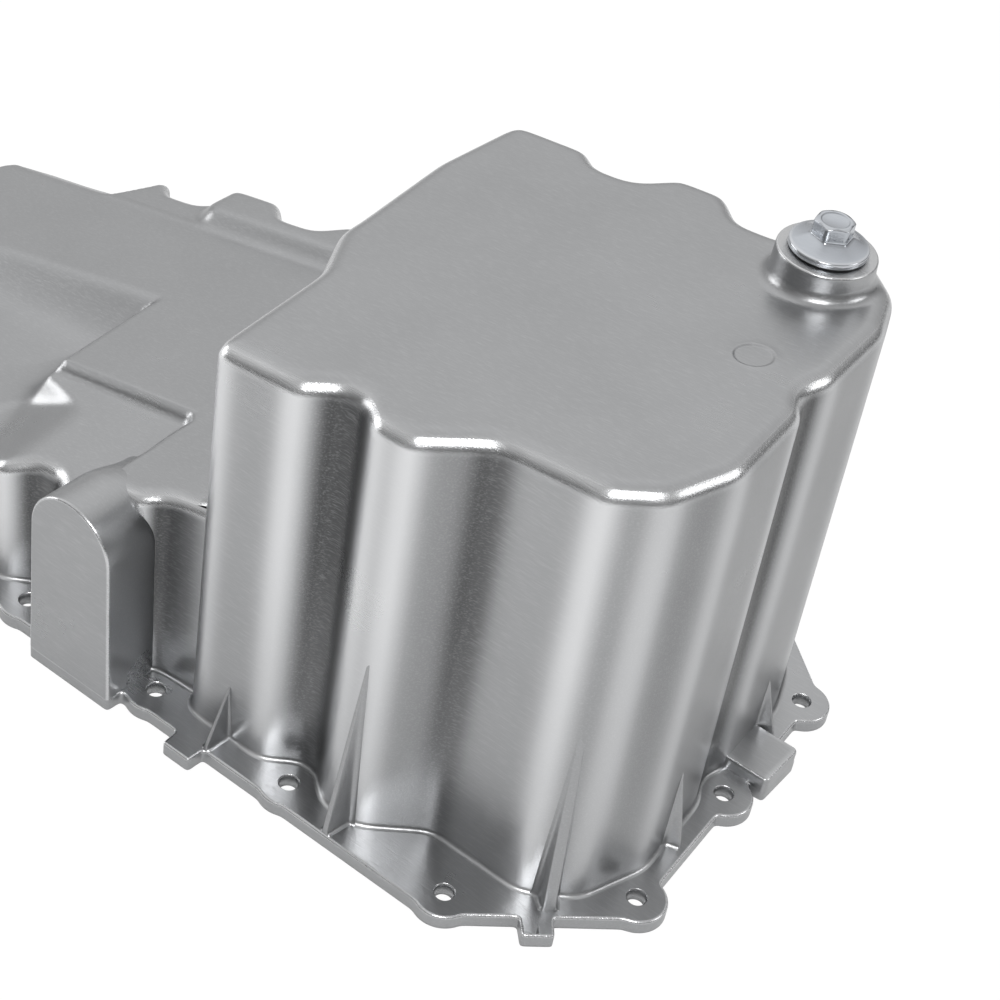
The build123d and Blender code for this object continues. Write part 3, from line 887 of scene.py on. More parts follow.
class Casting:
    """The die cast body: sump, tray, flange and their small forms, all in one material."""

    def __init__(self) -> None:
        """Work out the outlines and floors that the pieces share."""
        self.tray_loop = Loop.rounded(tray_corners(), 1.1, 2.2)
        self.sump_loop = Loop.rounded(sump_corners(), 1.0, 3.2)
        self.tray_floor = TrayFloor()
        self.sump_floor = SumpFloor()
        self.pieces: list[bpy.types.Object] = []

    def keep(self, name: str, skin: Skin) -> None:
        """Build a piece, let it ride on the pan and its node and log it.

        Args:
            name: Name of the piece.
            skin: Its mesh.
        """
        piece = skin.build(name)
        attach(piece, PAN_BODY)
        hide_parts(CASTING_NODE)
        self.pieces.append(piece)
        report(piece)

    def shell(self, of_sump: bool, side: Side) -> Shell:
        """Wall and rim of the sump or the tray.

        Args:
            of_sump: Whether it is the sump's.
            side: Which side of the wall it is.

        Returns:
            The shell.
        """
        loop = self.sump_loop if of_sump else self.tray_loop
        floor = self.sump_floor if of_sump else self.tray_floor
        rim_r = SIZES.sump_rim_r if of_sump else SIZES.tray_rim_r
        if side.looks_in:
            loop = Loop(loop.moved_in(side.inset)).respaced(1.6)
            return Shell(loop, floor, SIZES.floor_t, max(1.5, rim_r - side.inset))
        return Shell(loop, floor, 0.0, rim_r)

    def sump_rings(self) -> tuple[Ring, ...]:
        """Circles that the sump's floor follows: round the boss, and at the ejector mark."""
        foot = SIZES.boss_r + SIZES.boss_gap
        mark = self.sump_floor
        boss_radii = tuple(foot + step for step in (0.0, 0.4, 0.9, 1.5, 2.2, 3.0, 4.0))
        mark_radii = tuple(mark.mark_r + step for step in (-0.9, -0.4, 0.0, 0.4, 0.9, 1.6))
        return (
            Ring(SIZES.boss_x, SIZES.boss_y, boss_radii, True),
            Ring(mark.mark_x, mark.mark_y, mark_radii),
        )

    def add_sump(self, skin: Skin, side: Side) -> None:
        """Add one side of the sump's wall and floor.

        The wall starts at the flange, and over the tray it starts just under the tray's top.

        Args:
            skin: Mesh that takes them.
            side: Which side of the wall it is.
        """
        own = self.shell(True, side)
        tray = self.shell(False, side)
        base = own.outline.points
        over_tray = tray.outline.depth(base) > side.covered
        foot_r = np.where(over_tray, side.covered_foot_r, side.foot_r)
        tray_z = tray.floor.height(base) - tray.drop
        start = np.where(over_tray, tray_z - side.hidden - foot_r, side.start_z)
        wall, worn_and_highlit = own.wall(start, foot_r)
        skin.add_grid(wall, True, side.looks_in, worn_and_highlit, own.ridges(worn_and_highlit))
        rings = () if side.looks_in else self.sump_rings()
        plan, triangles = plan_mesh(wall[-1, :, :2], side.sump_rows, side.sump_spacing, rings)
        z = own.height(plan)
        if not side.looks_in:
            z = z + SIZES.boss_fillet(np.hypot(plan[:, 0] - SIZES.boss_x, plan[:, 1] - SIZES.boss_y))
        skin.add_plan(plan, z, triangles, side.looks_in, own.rim_wear_and_highlight(plan, 3.6, 1.6))

    def add_tray(self, skin: Skin, side: Side) -> None:
        """Add one side of the tray's wall and floor, as far as the sump.

        Args:
            skin: Mesh that takes them.
            side: Which side of the wall it is.
        """
        own = self.shell(False, side)
        sump = self.shell(True, side)
        count = len(own.outline.points)
        free = sump.outline.depth(own.outline.points) < side.overlap
        first = own.outline.nearest(-300.0, 204.0)
        order = np.arange(first, first + count) % count
        ends = np.flatnonzero(~free[order])
        path = np.concatenate([order[ends[-1] + 1 :], order[: ends[0]]])
        wall, worn_and_highlit = own.wall(np.full(count, side.start_z), np.full(count, side.foot_r))
        skin.add_grid(wall[:, path], False, side.looks_in, worn_and_highlit[:, path], own.ridges(worn_and_highlit)[:, path])
        rim = wall[-1, path, :2]
        lean = (self.tray_floor.height(rim[-1]) - own.drop) * SIZES.draft
        cliff_loop = Loop(sump.outline.moved_in(lean + side.overlap))
        near_end = cliff_loop.nearest(*rim[-1])
        far_end = cliff_loop.nearest(*rim[0])
        size = len(cliff_loop.points)
        steps = (near_end - far_end) % size
        cliff = cliff_loop.points[(near_end - np.arange(1, steps)) % size]
        plan, triangles = plan_mesh(np.concatenate([rim, cliff]), side.tray_rows, side.tray_spacing)
        from_cliff = np.maximum(lean - sump.outline.depth(plan), 0.0)
        fillet = math.copysign(1.0, side.cliff_r) * quarter_rise(from_cliff, abs(side.cliff_r))
        z = own.height(plan) + fillet
        skin.add_plan(plan, z, triangles, side.looks_in, own.rim_wear_and_highlight(plan, 2.6, 1.4))

    def build_bodies(self) -> None:
        """Make the sump and the tray, each with its outside and its inside."""
        for name, add in (("sump_casting", self.add_sump), ("tray_casting", self.add_tray)):
            skin = Skin()
            add(skin, OUTSIDE)
            add(skin, INSIDE)
            self.keep(name, skin)


@dataclass(frozen=True)
class FlangeTab:
    """Tab on the flange's edge: where it starts, which way it points, its width and its reach."""

    x: float
    y: float
    along: tuple[float, float]
    width: float
    reach: float

    def pushed(self, points: np.ndarray, normals: np.ndarray) -> np.ndarray:
        """Distance along the normals to the tab's end, 0 beside the tab.

        Args:
            points: Plan points of the flange's edge.
            normals: Their outward normals.

        Returns:
            One distance for each point.
        """
        way = np.array(self.along)
        facing = np.array([way[1], -way[0]])
        offset = points - (self.x, self.y)
        sideways = np.abs(offset @ way)
        reach = (self.reach - offset @ facing) / np.maximum(normals @ facing, 0.2)
        return np.where((sideways < 0.5 * self.width) & (normals @ facing > 0.5), np.maximum(reach, 0.0), 0.0)


@dataclass(frozen=True)
class Flange:
    """Gasket flange: a plate with lobes round its bolts, tabs and plain holes."""

    thickness: float = 6.0
    edge_r: float = 1.1
    low_bevel: float = 0.3
    hole_bevel: float = 0.45
    hole_segments: int = 40
    grid_step: float = 4.0
    pad_top_z: float = 11.5
    pad_edge_r: float = 1.0
    tabs: tuple[FlangeTab, ...] = (
        FlangeTab(-111.3, 0.0, (1.0, 0.0), 13.4, 17.5),
        FlangeTab(23.35, 20.99, (0.7437, 0.6686), 11.8, 18.2),
        FlangeTab(57.2, 132.1, (0.0, 1.0), 23.0, 0.0),
        FlangeTab(-167.1, 0.0, (1.0, 0.0), 41.4, 16.6),
    )

    def outline(self) -> Loop:
        """Plan outline: a polygon pushed outwards to the lobes' circles and the tabs' ends.

        Returns:
            The outline as a loop.
        """
        low = SIZES.near_y - SIZES.edge_from_bolts
        high = SIZES.far_y + SIZES.edge_from_bolts
        corners = [
            (-430.1, 35.7, 2.0), (-379.8, low, 2.0), (3.8, low, 2.0), (54.6, 35.7, 2.0),
            (45.3, 181.3, 2.0), (3.6, high, 6.0), (-388.4, high, 6.0), (-430.1, 181.3, 2.0),
        ]
        base = Loop.rounded(corners, 0.35)
        push = np.zeros(len(base.points))
        for place in SIZES.bolt_places():
            offset = base.points - place
            b = np.sum(offset * base.normals, axis=1)
            q = np.sum(offset * offset, axis=1) - SIZES.lobe_r**2
            reach = -b + np.sqrt(np.maximum(b * b - q, 0.0))
            push = np.maximum(push, np.where(b * b > q, reach, 0.0))
        for tab in self.tabs:
            push = np.maximum(push, tab.pushed(base.points, base.normals))
        return Loop(base.moved_in(-push[:, None])).respaced(0.8).softened(1.0)

    def add_face(self, skin: Skin, outer: np.ndarray, inner: Loop, hole_r: float, z: float,
                 flip: bool) -> None:
        """Add the flat face between the edge and the walls, with its holes left open.

        Args:
            skin: Mesh that takes it.
            outer: Outer edge of the face.
            inner: Outline that the face ends under.
            hole_r: Radius of the holes in it.
            z: Its height.
            flip: Whether it looks down.
        """
        places = SIZES.bolt_places()
        circles = [Ring(x, y, (hole_r,), True, self.hole_segments).points(hole_r) for x, y in places]
        across = np.arange(-440.0, 70.0, self.grid_step)
        along = np.arange(-24.0, 226.0, self.grid_step)
        grid = np.stack(np.meshgrid(across, along), axis=2).reshape(-1, 2)
        keep = (Loop(outer).depth(grid) > 2.0) & (inner.depth(grid) < -2.0)
        for x, y in places:
            keep &= np.hypot(grid[:, 0] - x, grid[:, 1] - y) > hole_r + 1.5
        plan, triangles = fill_plan(outer, [inner.points, *circles], grid[keep])
        skin.add_plan(plan, np.full(len(plan), z), triangles, flip)

    def add_edge(self, skin: Skin, loop: Loop) -> np.ndarray:
        """Add the plate's edge: a low bevel, a straight side and a quarter round at the top.

        Args:
            skin: Mesh that takes it.
            loop: Plan outline of the plate.

        Returns:
            Plan points of the round's inner edge.
        """
        angle = np.radians(np.linspace(0.0, 90.0, 6))
        side_z = np.linspace(self.low_bevel, self.thickness - self.edge_r, 5)
        inset = np.concatenate([[self.low_bevel], np.zeros(5), self.edge_r * (1.0 - np.cos(angle[1:]))])
        z = np.concatenate([[0.0], side_z, self.thickness - self.edge_r * (1.0 - np.sin(angle[1:]))])
        # Edge rubbing on the rounds, which the material also paints as a highlight.
        worn_and_highlit = np.concatenate([[0.4], np.zeros(5), np.sin(2.0 * angle[1:])])
        plan = loop.points[None] - loop.normals[None] * inset[:, None, None]
        grid = np.concatenate([plan, np.broadcast_to(z[:, None, None], plan.shape[:2] + (1,))], axis=2)
        skin.add_grid(grid, True, False, worn_and_highlit[:, None])
        return plan[-1]

    def add_holes(self, skin: Skin) -> None:
        """Add the walls of the bolt holes, each with a small bevel at both ends.

        Args:
            skin: Mesh that takes them.
        """
        wide = SIZES.hole_r + self.hole_bevel
        hole = Turning(self.hole_segments)
        # Edge rubbing at the holes' bevels, also a painted highlight.
        hole.row(wide, 0.0, 0.7)
        hole.row(SIZES.hole_r, self.hole_bevel, 0.2)
        hole.row(SIZES.hole_r, self.thickness - self.hole_bevel, 0.2)
        hole.row(wide, self.thickness, 0.7)
        for x, y in SIZES.bolt_places():
            hole.add_to(skin, x, y, flip=True)

    def build(self, casting: Casting) -> None:
        """Make the plate as one piece and its raised end tab as another.

        Args:
            casting: The casting that it belongs to.
        """
        skin = Skin()
        loop = self.outline()
        top = self.add_edge(skin, loop)
        walls = Loop.rounded(wall_corners(), 1.6, 2.6)
        under_walls = Loop(walls.moved_in(1.0))
        inner_edge = Loop(walls.moved_in(SIZES.wall_t))
        hole_r = SIZES.hole_r + self.hole_bevel
        self.add_face(skin, top, under_walls, hole_r, self.thickness, False)
        self.add_face(skin, loop.moved_in(self.low_bevel), inner_edge, hole_r, 0.0, True)
        self.add_holes(skin)
        casting.keep("gasket_flange", skin)
        self.build_pad(casting)

    def build_pad(self, casting: Casting) -> None:
        """Make the raised end tab: a rounded rectangle carried up, rounded over and closed at its middle.

        Args:
            casting: The casting that it belongs to.
        """
        corners = [(33.0, 120.62, 1.0), (57.18, 120.62, 2.0), (57.18, 143.58, 2.0), (33.0, 143.58, 1.0)]
        loop = Loop.rounded(corners, 0.8)
        spring = self.pad_top_z - self.pad_edge_r
        sides = (5.0, 7.2, 9.0, spring)
        levels = [np.column_stack([loop.points, np.full(len(loop.points), z)]) for z in sides]
        for angle in np.radians((22.5, 45.0, 67.5, 90.0)):
            plan = loop.moved_in(self.pad_edge_r * (1.0 - math.cos(angle)))
            z = spring + self.pad_edge_r * math.sin(angle)
            levels.append(np.column_stack([plan, np.full(len(plan), z)]))
        edge = levels[-1]
        centre = np.append(loop.points.mean(axis=0), self.pad_top_z)
        levels += [centre + (edge - centre) * share for share in (0.85, 0.5, 0.2, 0.0)]
        skin = Skin()
        # Edge rubbing on the pad's round, also a painted highlight.
        worn_and_highlit = np.array([0.0] * 4 + [0.5, 0.9, 0.9, 0.4] + [0.0] * 4)[:, None]
        skin.add_grid(np.stack(levels), True, False, worn_and_highlit)
        casting.keep("raised_end_tab", skin)


def wall_corners() -> list[Corner]:
    """Plan outline of the whole wall at the flange, round tray and sump together."""
    tray = tray_corners()
    sump = sump_corners()
    near = tray[:17] + [(-126.4, 9.2, 2.0)]
    far = [(-149.6, 193.0, 2.0)] + tray[20:]
    return near + sump[:27] + far


@dataclass(frozen=True)
class Rib:
    """Thin stiffening web on the flange, from its edge up to the wall."""

    name: str
    foot: tuple[float, float]
    wall: tuple[float, float]
    height: float
    thick_out: float
    thick_in: float

    def grid(self) -> np.ndarray:
        """Surface over (share of the way to the wall, place round the web's section).

        The top edge rises in proportion to the way gone. The section narrows evenly from a flared foot to a
        half round top, and its foot thickens as a quarter round where it meets the wall.

        Returns:
            Points of shape (rows, columns, 3).
        """
        a = np.array(self.foot)
        b = np.array(self.wall)
        run = float(np.linalg.norm(b - a))
        way = (b - a) / run
        side = np.array([-way[1], way[0]])
        share = np.concatenate([np.linspace(0.02, 1.0, 26), [1.0 + 2.0 / run]])
        height = np.concatenate([[0.03], (self.height * share + 0.2)[1:]])
        half = 0.5 * (self.thick_out + (self.thick_in - self.thick_out) * np.minimum(share, 1.0))
        top_half = half * (0.9 - 0.55 * np.minimum(share, 1.0))
        half = half + quarter_rise(np.maximum((1.0 - share) * run, 0.0), 1.8)
        top_r = np.minimum(top_half, 0.9 * height)
        arc = np.radians(np.linspace(0.0, 180.0, 9))
        flank = np.array([0.0, 0.18, 0.4, 0.7, 1.0])
        foot_out = np.array([1.5, 0.75, 0.3, 0.05, 0.0])
        body = np.maximum(height - top_r, 0.02)[:, None]
        flank_z = np.minimum(flank[None, :] * np.minimum(body, 2.2), body)
        flank_z[:, -1] = body[:, 0]
        flank_x = half[:, None] + (top_half - half)[:, None] * flank_z / body
        flank_x = flank_x + foot_out[None] * np.minimum(height[:, None] / 3.0, 1.0)
        arc_x = top_half[:, None] * np.cos(arc)[None]
        arc_z = body + top_r[:, None] * np.sin(arc)[None]
        across = np.concatenate([flank_x, arc_x[:, 1:-1], -flank_x[:, ::-1]], axis=1)
        z = np.concatenate([flank_z, arc_z[:, 1:-1], flank_z[:, ::-1]], axis=1) + SIZES.flange_t - 0.02
        plan = a + way * (share * run)[:, None, None] + side * across[..., None]
        return np.concatenate([plan, z[..., None]], axis=2)

    def build(self, casting: Casting) -> None:
        """Make the web as a piece of the casting."""
        skin = Skin()
        skin.add_grid(self.grid(), False)
        casting.keep(self.name, skin)


@dataclass(frozen=True)
class Lug:
    """Upright pad on the near side with a round top, run back into the tray."""

    middle_x: float = -167.1
    width: float = 41.4
    face_y: float = -16.6
    top_z: float = 87.6
    taper: float = 1.2
    edge_r: float = 1.1
    back_y: float = 26.0

    def build(self, casting: Casting) -> None:
        """Make the pad: its flat face, the round of the face's edge, and the arch carried back.

        A point of the arch is (half width at its height, height); round the face's edge the arch is drawn
        in by R(1 - sin a), and on its way back it sinks under the tray as a smooth step.

        Args:
            casting: The casting that it belongs to.
        """
        half = 0.5 * self.width
        top_half = half - self.taper
        spring = self.top_z - top_half
        low = SIZES.flange_t - 0.5
        up = np.linspace(low, spring, 40)
        arc = np.radians(np.linspace(0.0, 180.0, 61))
        right = np.column_stack([half - self.taper * up / spring, up])
        crown = np.column_stack([top_half * np.cos(arc), spring + top_half * np.sin(arc)])
        left = np.column_stack([-right[::-1, 0], right[::-1, 1]])
        arch = np.vstack([right, crown[1:-1], left])
        normal = np.vstack(
            [
                np.tile([1.0, 0.0], (len(right), 1)),
                np.column_stack([np.cos(arc), np.sin(arc)])[1:-1],
                np.tile([-1.0, 0.0], (len(left), 1)),
            ]
        )
        rows = []
        worn_and_highlit = []
        for share in (0.0, 0.3, 0.6, 0.85, 0.95):
            inner = arch - normal * self.edge_r
            inner = np.column_stack([inner[:, 0] * share, low + (inner[:, 1] - low) * share])
            rows.append(np.column_stack([inner[:, 0], np.full(len(arch), self.face_y), inner[:, 1]]))
            worn_and_highlit.append(0.0)
        for angle in np.radians(np.linspace(0.0, 90.0, 7)):
            shrunk = arch - normal * self.edge_r * (1.0 - math.sin(angle))
            y = np.full(len(arch), self.face_y + self.edge_r * (1.0 - math.cos(angle)))
            rows.append(np.column_stack([shrunk[:, 0], y, shrunk[:, 1]]))
            # Edge rubbing on the face's round, also a painted highlight.
            worn_and_highlit.append(math.sin(2.0 * angle))
        for y in np.linspace(self.face_y + self.edge_r, self.back_y, 30)[1:]:
            sink = 5.0 * float(smoothstep(2.0, self.back_y, np.array(y)))
            rows.append(np.column_stack([arch[:, 0], np.full(len(arch), y), arch[:, 1] - sink]))
            worn_and_highlit.append(0.0)
        grid = np.stack(rows)
        grid[..., 2] = np.maximum(grid[..., 2], low)
        grid[..., 0] += self.middle_x
        skin = Skin()
        skin.add_grid(grid, False, True, np.repeat(np.array(worn_and_highlit)[:, None], len(arch), axis=1))
        casting.keep("side_lug", skin)


@dataclass(frozen=True)
class DrainBoss:
    """Round boss on the sump floor with a machined face and a threaded bore."""

    foot_r: float = 18.6
    edge_r: float = 0.7
    cone_h: float = 14.0
    thread_r: float = 6.06
    thread_depth: float = 0.75
    pitch: float = 1.5
    segments: int = 96

    def build(self, casting: Casting) -> None:
        """Make the cast collar, the machined face and the bore.

        Args:
            casting: The casting that it belongs to.
        """
        top = SIZES.boss_top_z
        foot = SIZES.boss_r + SIZES.boss_gap
        circle = Ring(SIZES.boss_x, SIZES.boss_y, (foot,), True, self.segments).points(foot)
        start = casting.shell(True, OUTSIDE).height(circle) + float(SIZES.boss_fillet(np.array(foot)))
        collar = Turning(self.segments)
        collar.row(foot, start)
        first = start + 1.2
        for share in np.linspace(0.0, 1.0, 9):
            z = first + (top - self.edge_r - first) * share
            collar.row(SIZES.boss_r + (self.foot_r - SIZES.boss_r) * (top - z) / self.cone_h, z)
        # Edge rubbing on the boss's top round, also a painted highlight.
        for angle, worn_and_highlit in zip(np.radians((30.0, 60.0, 90.0)), (0.7, 1.0, 0.8)):
            radius = SIZES.boss_r - self.edge_r * (1.0 - math.cos(angle))
            collar.row(radius, top - self.edge_r * (1.0 - math.sin(angle)), worn_and_highlit)
        skin = Skin()
        collar.add_to(skin, SIZES.boss_x, SIZES.boss_y)
        casting.keep("drain_boss", skin)
        self.build_face(casting, top)

    def build_face(self, casting: Casting, top: float) -> None:
        """Make the turned face and the threaded bore under it, whose radius is a triangle wave.

        Args:
            casting: The casting that it belongs to.
            top: Height of the face.
        """
        face = Turning(self.segments)
        for radius in np.linspace(SIZES.boss_r - self.edge_r, self.thread_r + 0.9, 12):
            face.row(radius, top)
        for z in np.arange(top - 0.9, SIZES.sump_floor_z - SIZES.floor_t, -THREAD_STEP):
            groove = face.thread_wave(z, self.pitch) - 1.0
            face.row(self.thread_r + self.thread_depth * groove * 0.9, z)
        skin = Skin()
        face.add_to(skin, SIZES.boss_x, SIZES.boss_y)
        casting.keep("boss_face_and_bore", skin)


@dataclass(frozen=True)
class SealingRing:
    """Thin ring between the plug's flange and the boss."""

    outer_r: float = 13.6
    inner_r: float = 6.3
    thickness: float = 0.8
    segments: int = 96

    def build(self) -> bpy.types.Object:
        """Make the ring: a flat section whose outer edge is a half round.

        Returns:
            The ring's object.
        """
        half = 0.5 * self.thickness
        ring = Turning(self.segments)
        ring.row(self.inner_r, 0.0)
        for angle in np.radians(np.linspace(-90.0, 90.0, 9)):
            ring.row(self.outer_r - half + half * np.cos(angle), half + half * np.sin(angle))
        ring.row(self.inner_r, self.thickness)
        ring.row(self.inner_r, 0.0)
        skin = Skin()
        ring.add_to(skin, SIZES.boss_x, SIZES.boss_y, SIZES.boss_top_z)
        piece = skin.build("seal_ring")
        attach(piece, "seal")
        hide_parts("sealing_ring")
        report(piece)
        return piece


@dataclass(frozen=True)
class DrainPlug:
    """Steel drain plug: threaded shank, round flange, cone and a dished hexagon."""

    flange_r: float = 14.2
    rim_h: float = 2.3
    cone_h: float = 2.8
    hex_af: float = 13.0
    hex_h: float = 6.0
    hex_turn_deg: float = 8.0
    crown: float = 0.55
    shank_l: float = 17.0
    shank_r: float = 5.9
    thread_depth: float = 0.8
    pitch: float = 1.5
    seal_t: float = 0.8
    dish_r: float = 5.0
    dish: float = 0.45
    low_round: float = 0.4
    rim_round: float = 0.5
    segments: int = 144

    def hex_radius(self, angle: np.ndarray, corner_r: float) -> np.ndarray:
        """Radius of a hexagon with slightly rounded corners, at given angles.

        Args:
            angle: Angles round the axis, in radians.
            corner_r: How much is taken off each corner.

        Returns:
            One radius for each angle.
        """
        sector = math.pi / 3.0
        turned = angle - math.radians(self.hex_turn_deg)
        local = (turned + 0.5 * sector) % sector - 0.5 * sector
        flat = 0.5 * self.hex_af / np.cos(local)
        corner = 0.5 * self.hex_af / math.cos(0.5 * sector) - corner_r
        return smooth_min(flat, np.full_like(flat, corner), 0.25)

    def build(self) -> bpy.types.Object:
        """Make the plug as one turned surface.

        Shank: the radius is a triangle wave of (height / pitch - turn). Flange and cone: a turned profile.
        Head: the hexagon's radius, capped by a cone that falls with the radius.

        Returns:
            The plug's object.
        """
        base = self.seal_t
        rim_top = base + self.rim_h
        hex_base = rim_top + self.cone_h
        hex_top = hex_base + self.hex_h
        core_r = self.shank_r - self.thread_depth
        plug = Turning(self.segments)
        plug.row(AXIS_R, -self.shank_l)
        plug.row(4.0, -self.shank_l)
        for z in np.arange(-self.shank_l + 0.05, base - 1.6, THREAD_STEP):
            taper = max(0.0, 1.0 - (z + self.shank_l) / 1.4)
            wave = plug.thread_wave(z, self.pitch)
            plug.row(self.shank_r - self.thread_depth * (1.0 - wave) - 0.9 * taper, z)
        plug.row(core_r, base - 1.3)
        plug.row(core_r, base + 0.01)
        plug.row(self.flange_r - self.low_round, base + 0.01)
        # The third values of the rows below are edge rubbing, which the material also paints as a highlight.
        for angle in np.radians((-60.0, -30.0, 0.0)):
            radius = self.flange_r - self.low_round * (1.0 - math.cos(angle))
            plug.row(radius, base + self.low_round + self.low_round * math.sin(angle), 0.5)
        for angle in np.radians((0.0, 30.0, 60.0, 90.0)):
            radius = self.flange_r - self.rim_round * (1.0 - math.cos(angle))
            plug.row(radius, rim_top - self.rim_round + self.rim_round * math.sin(angle), 0.8)
        hexagon = self.hex_radius(plug.angle, 0.25)
        for share in np.linspace(0.0, 1.0, 9)[1:]:
            radius = (self.flange_r - self.rim_round) * (1.0 - share) + (hexagon + 0.35) * share
            plug.row(radius, rim_top + self.cone_h * share**1.25)
        plug.row(hexagon + 0.08, hex_base + 0.35)
        cap = hex_top - self.crown * np.maximum(hexagon - 0.5 * self.hex_af * 0.98, 0.0)
        for share in np.linspace(0.0, 1.0, 8):
            plug.row(hexagon, hex_base + 0.7 + (cap - 0.25 - hex_base - 0.7) * share)
        plug.row(hexagon - 0.1, cap - 0.07, 1.0)
        plug.row(hexagon - 0.3, cap, 0.7)
        plug.row(0.5 * self.hex_af * 0.955, hex_top, 0.3)
        plug.row(self.dish_r + 0.25, hex_top, 0.3)
        for share in (0.25, 0.5, 0.75, 1.0):
            z = hex_top - self.dish * float(smoothstep(0.0, 1.0, np.array(share)))
            plug.row(self.dish_r + 0.25 - 0.7 * share, z, 0.2)
        plug.row(AXIS_R, hex_top - self.dish)
        skin = Skin()
        plug.add_to(skin, SIZES.boss_x, SIZES.boss_y, SIZES.boss_top_z)
        piece = skin.build("hex_drain_plug")
        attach(piece, "plug")
        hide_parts("drain_plug")
        report(piece)
        return piece


Sockets = dict[str | int, object]


@dataclass
class NodeBench:
    """Small helper that lays nodes into a tree and joins them."""

    tree: bpy.types.NodeTree

    @classmethod
    def cleared(cls, owner: bpy.types.Material | bpy.types.World) -> NodeBench:
        """Bench on the emptied tree of a material or a world."""
        owner.use_nodes = True
        owner.node_tree.nodes.clear()
        return cls(owner.node_tree)

    def feed(self, socket: bpy.types.NodeSocket, value: object) -> None:
        """Join an input to a socket, or set it to anything else."""
        if isinstance(value, bpy.types.NodeSocket):
            self.tree.links.new(value, socket)
        else:
            socket.default_value = value

    def add(self, kind: str, settings: Sockets | None = None,
            inputs: Sockets | None = None) -> bpy.types.Node:
        """Add a node.

        Args:
            kind: Blender's name of the node type.
            settings: Attributes of the node.
            inputs: Its inputs by name or number; a socket is joined, anything else is set.

        Returns:
            The node.
        """
        node = self.tree.nodes.new(kind)
        for name, value in (settings or {}).items():
            setattr(node, name, value)
        for name, value in (inputs or {}).items():
            self.feed(node.inputs[name], value)
        return node

    def math(self, operation: str, a: object, b: object = 0.0, clamp: bool = False) -> bpy.types.NodeSocket:
        """Result of a math node on two values."""
        node = self.add("ShaderNodeMath", {"operation": operation, "use_clamp": clamp}, {0: a, 1: b})
        return node.outputs[0]

    def span(self, value: object, low: float, high: float, to_low: float,
             to_high: float) -> bpy.types.NodeSocket:
        """Value mapped in a straight line from one range to another, held at the ends."""
        inputs = {"Value": value, "From Min": low, "From Max": high, "To Min": to_low, "To Max": to_high}
        return self.add("ShaderNodeMapRange", {}, inputs).outputs["Result"]

    def noise(self, vector: object, scale: float, detail: float = 2.0,
              rough: float = 0.5) -> bpy.types.NodeSocket:
        """Value of a noise texture."""
        inputs = {"Vector": vector, "Scale": scale, "Detail": detail, "Roughness": rough}
        return self.add("ShaderNodeTexNoise", {}, inputs).outputs["Fac"]

    def mix(self, factor: object, a: object, b: object) -> bpy.types.NodeSocket:
        """Colour between two colours."""
        node = self.add("ShaderNodeMix", {"data_type": "RGBA"})
        for name, value in (("Factor_Float", factor), ("A_Color", a), ("B_Color", b)):
            self.feed(next(s for s in node.inputs if s.identifier == name), value)
        return next(s for s in node.outputs if s.identifier == "Result_Color")


def grey(level: float, blue: float = 0.0) -> tuple[float, float, float, float]:
    """Grey of a linear level, with a little blue added if wanted."""
    return (level, level * (1.0 + 0.4 * blue), level * (1.0 + blue), 1.0)


class CastGrain:
    """Shared group: fine grain, slow mottling and short hand-finishing scratches of cast metal."""

    NAME = "cast_grain"

    @classmethod
    def group(cls) -> bpy.types.NodeTree:
        """Build the group once.

        Returns:
            The node group, with a vector in and Grain, Mottle and Scratch out.
        """
        found = bpy.data.node_groups.get(cls.NAME)
        if found is not None:
            return found
        tree = bpy.data.node_groups.new(cls.NAME, "ShaderNodeTree")
        tree.interface.new_socket("Vector", in_out="INPUT", socket_type="NodeSocketVector")
        for name in ("Grain", "Mottle", "Scratch"):
            tree.interface.new_socket(name, in_out="OUTPUT", socket_type="NodeSocketFloat")
        bench = NodeBench(tree)
        start = bench.add("NodeGroupInput").outputs["Vector"]
        end = bench.add("NodeGroupOutput")
        fine = bench.noise(start, 1500.0, 3.0, 0.6)
        coarse = bench.noise(start, 420.0, 2.0, 0.5)
        grain = bench.math("ADD", bench.math("MULTIPLY", fine, 0.6), bench.math("MULTIPLY", coarse, 0.4))
        mottle = bench.span(bench.noise(start, 26.0, 4.0, 0.55), 0.3, 0.7, 0.0, 1.0)
        marks = []
        for turn, scale in ((0.5, 150.0), (-0.8, 180.0), (1.9, 130.0)):
            turned = {"Vector": start, "Rotation": (0.2 * turn, 0.1, turn), "Scale": (1.0, 14.0, 12.0)}
            mapping = bench.add("ShaderNodeMapping", {}, turned)
            wave = bench.noise(mapping.outputs[0], scale, 1.0, 0.4)
            marks.append(bench.span(wave, 0.57, 0.80, 0.0, 1.0))
        scratch = bench.math("MAXIMUM", bench.math("MAXIMUM", marks[0], marks[1]), marks[2])
        for name, value in (("Grain", grain), ("Mottle", mottle), ("Scratch", scratch)):
            tree.links.new(value, end.inputs[name])
        return tree


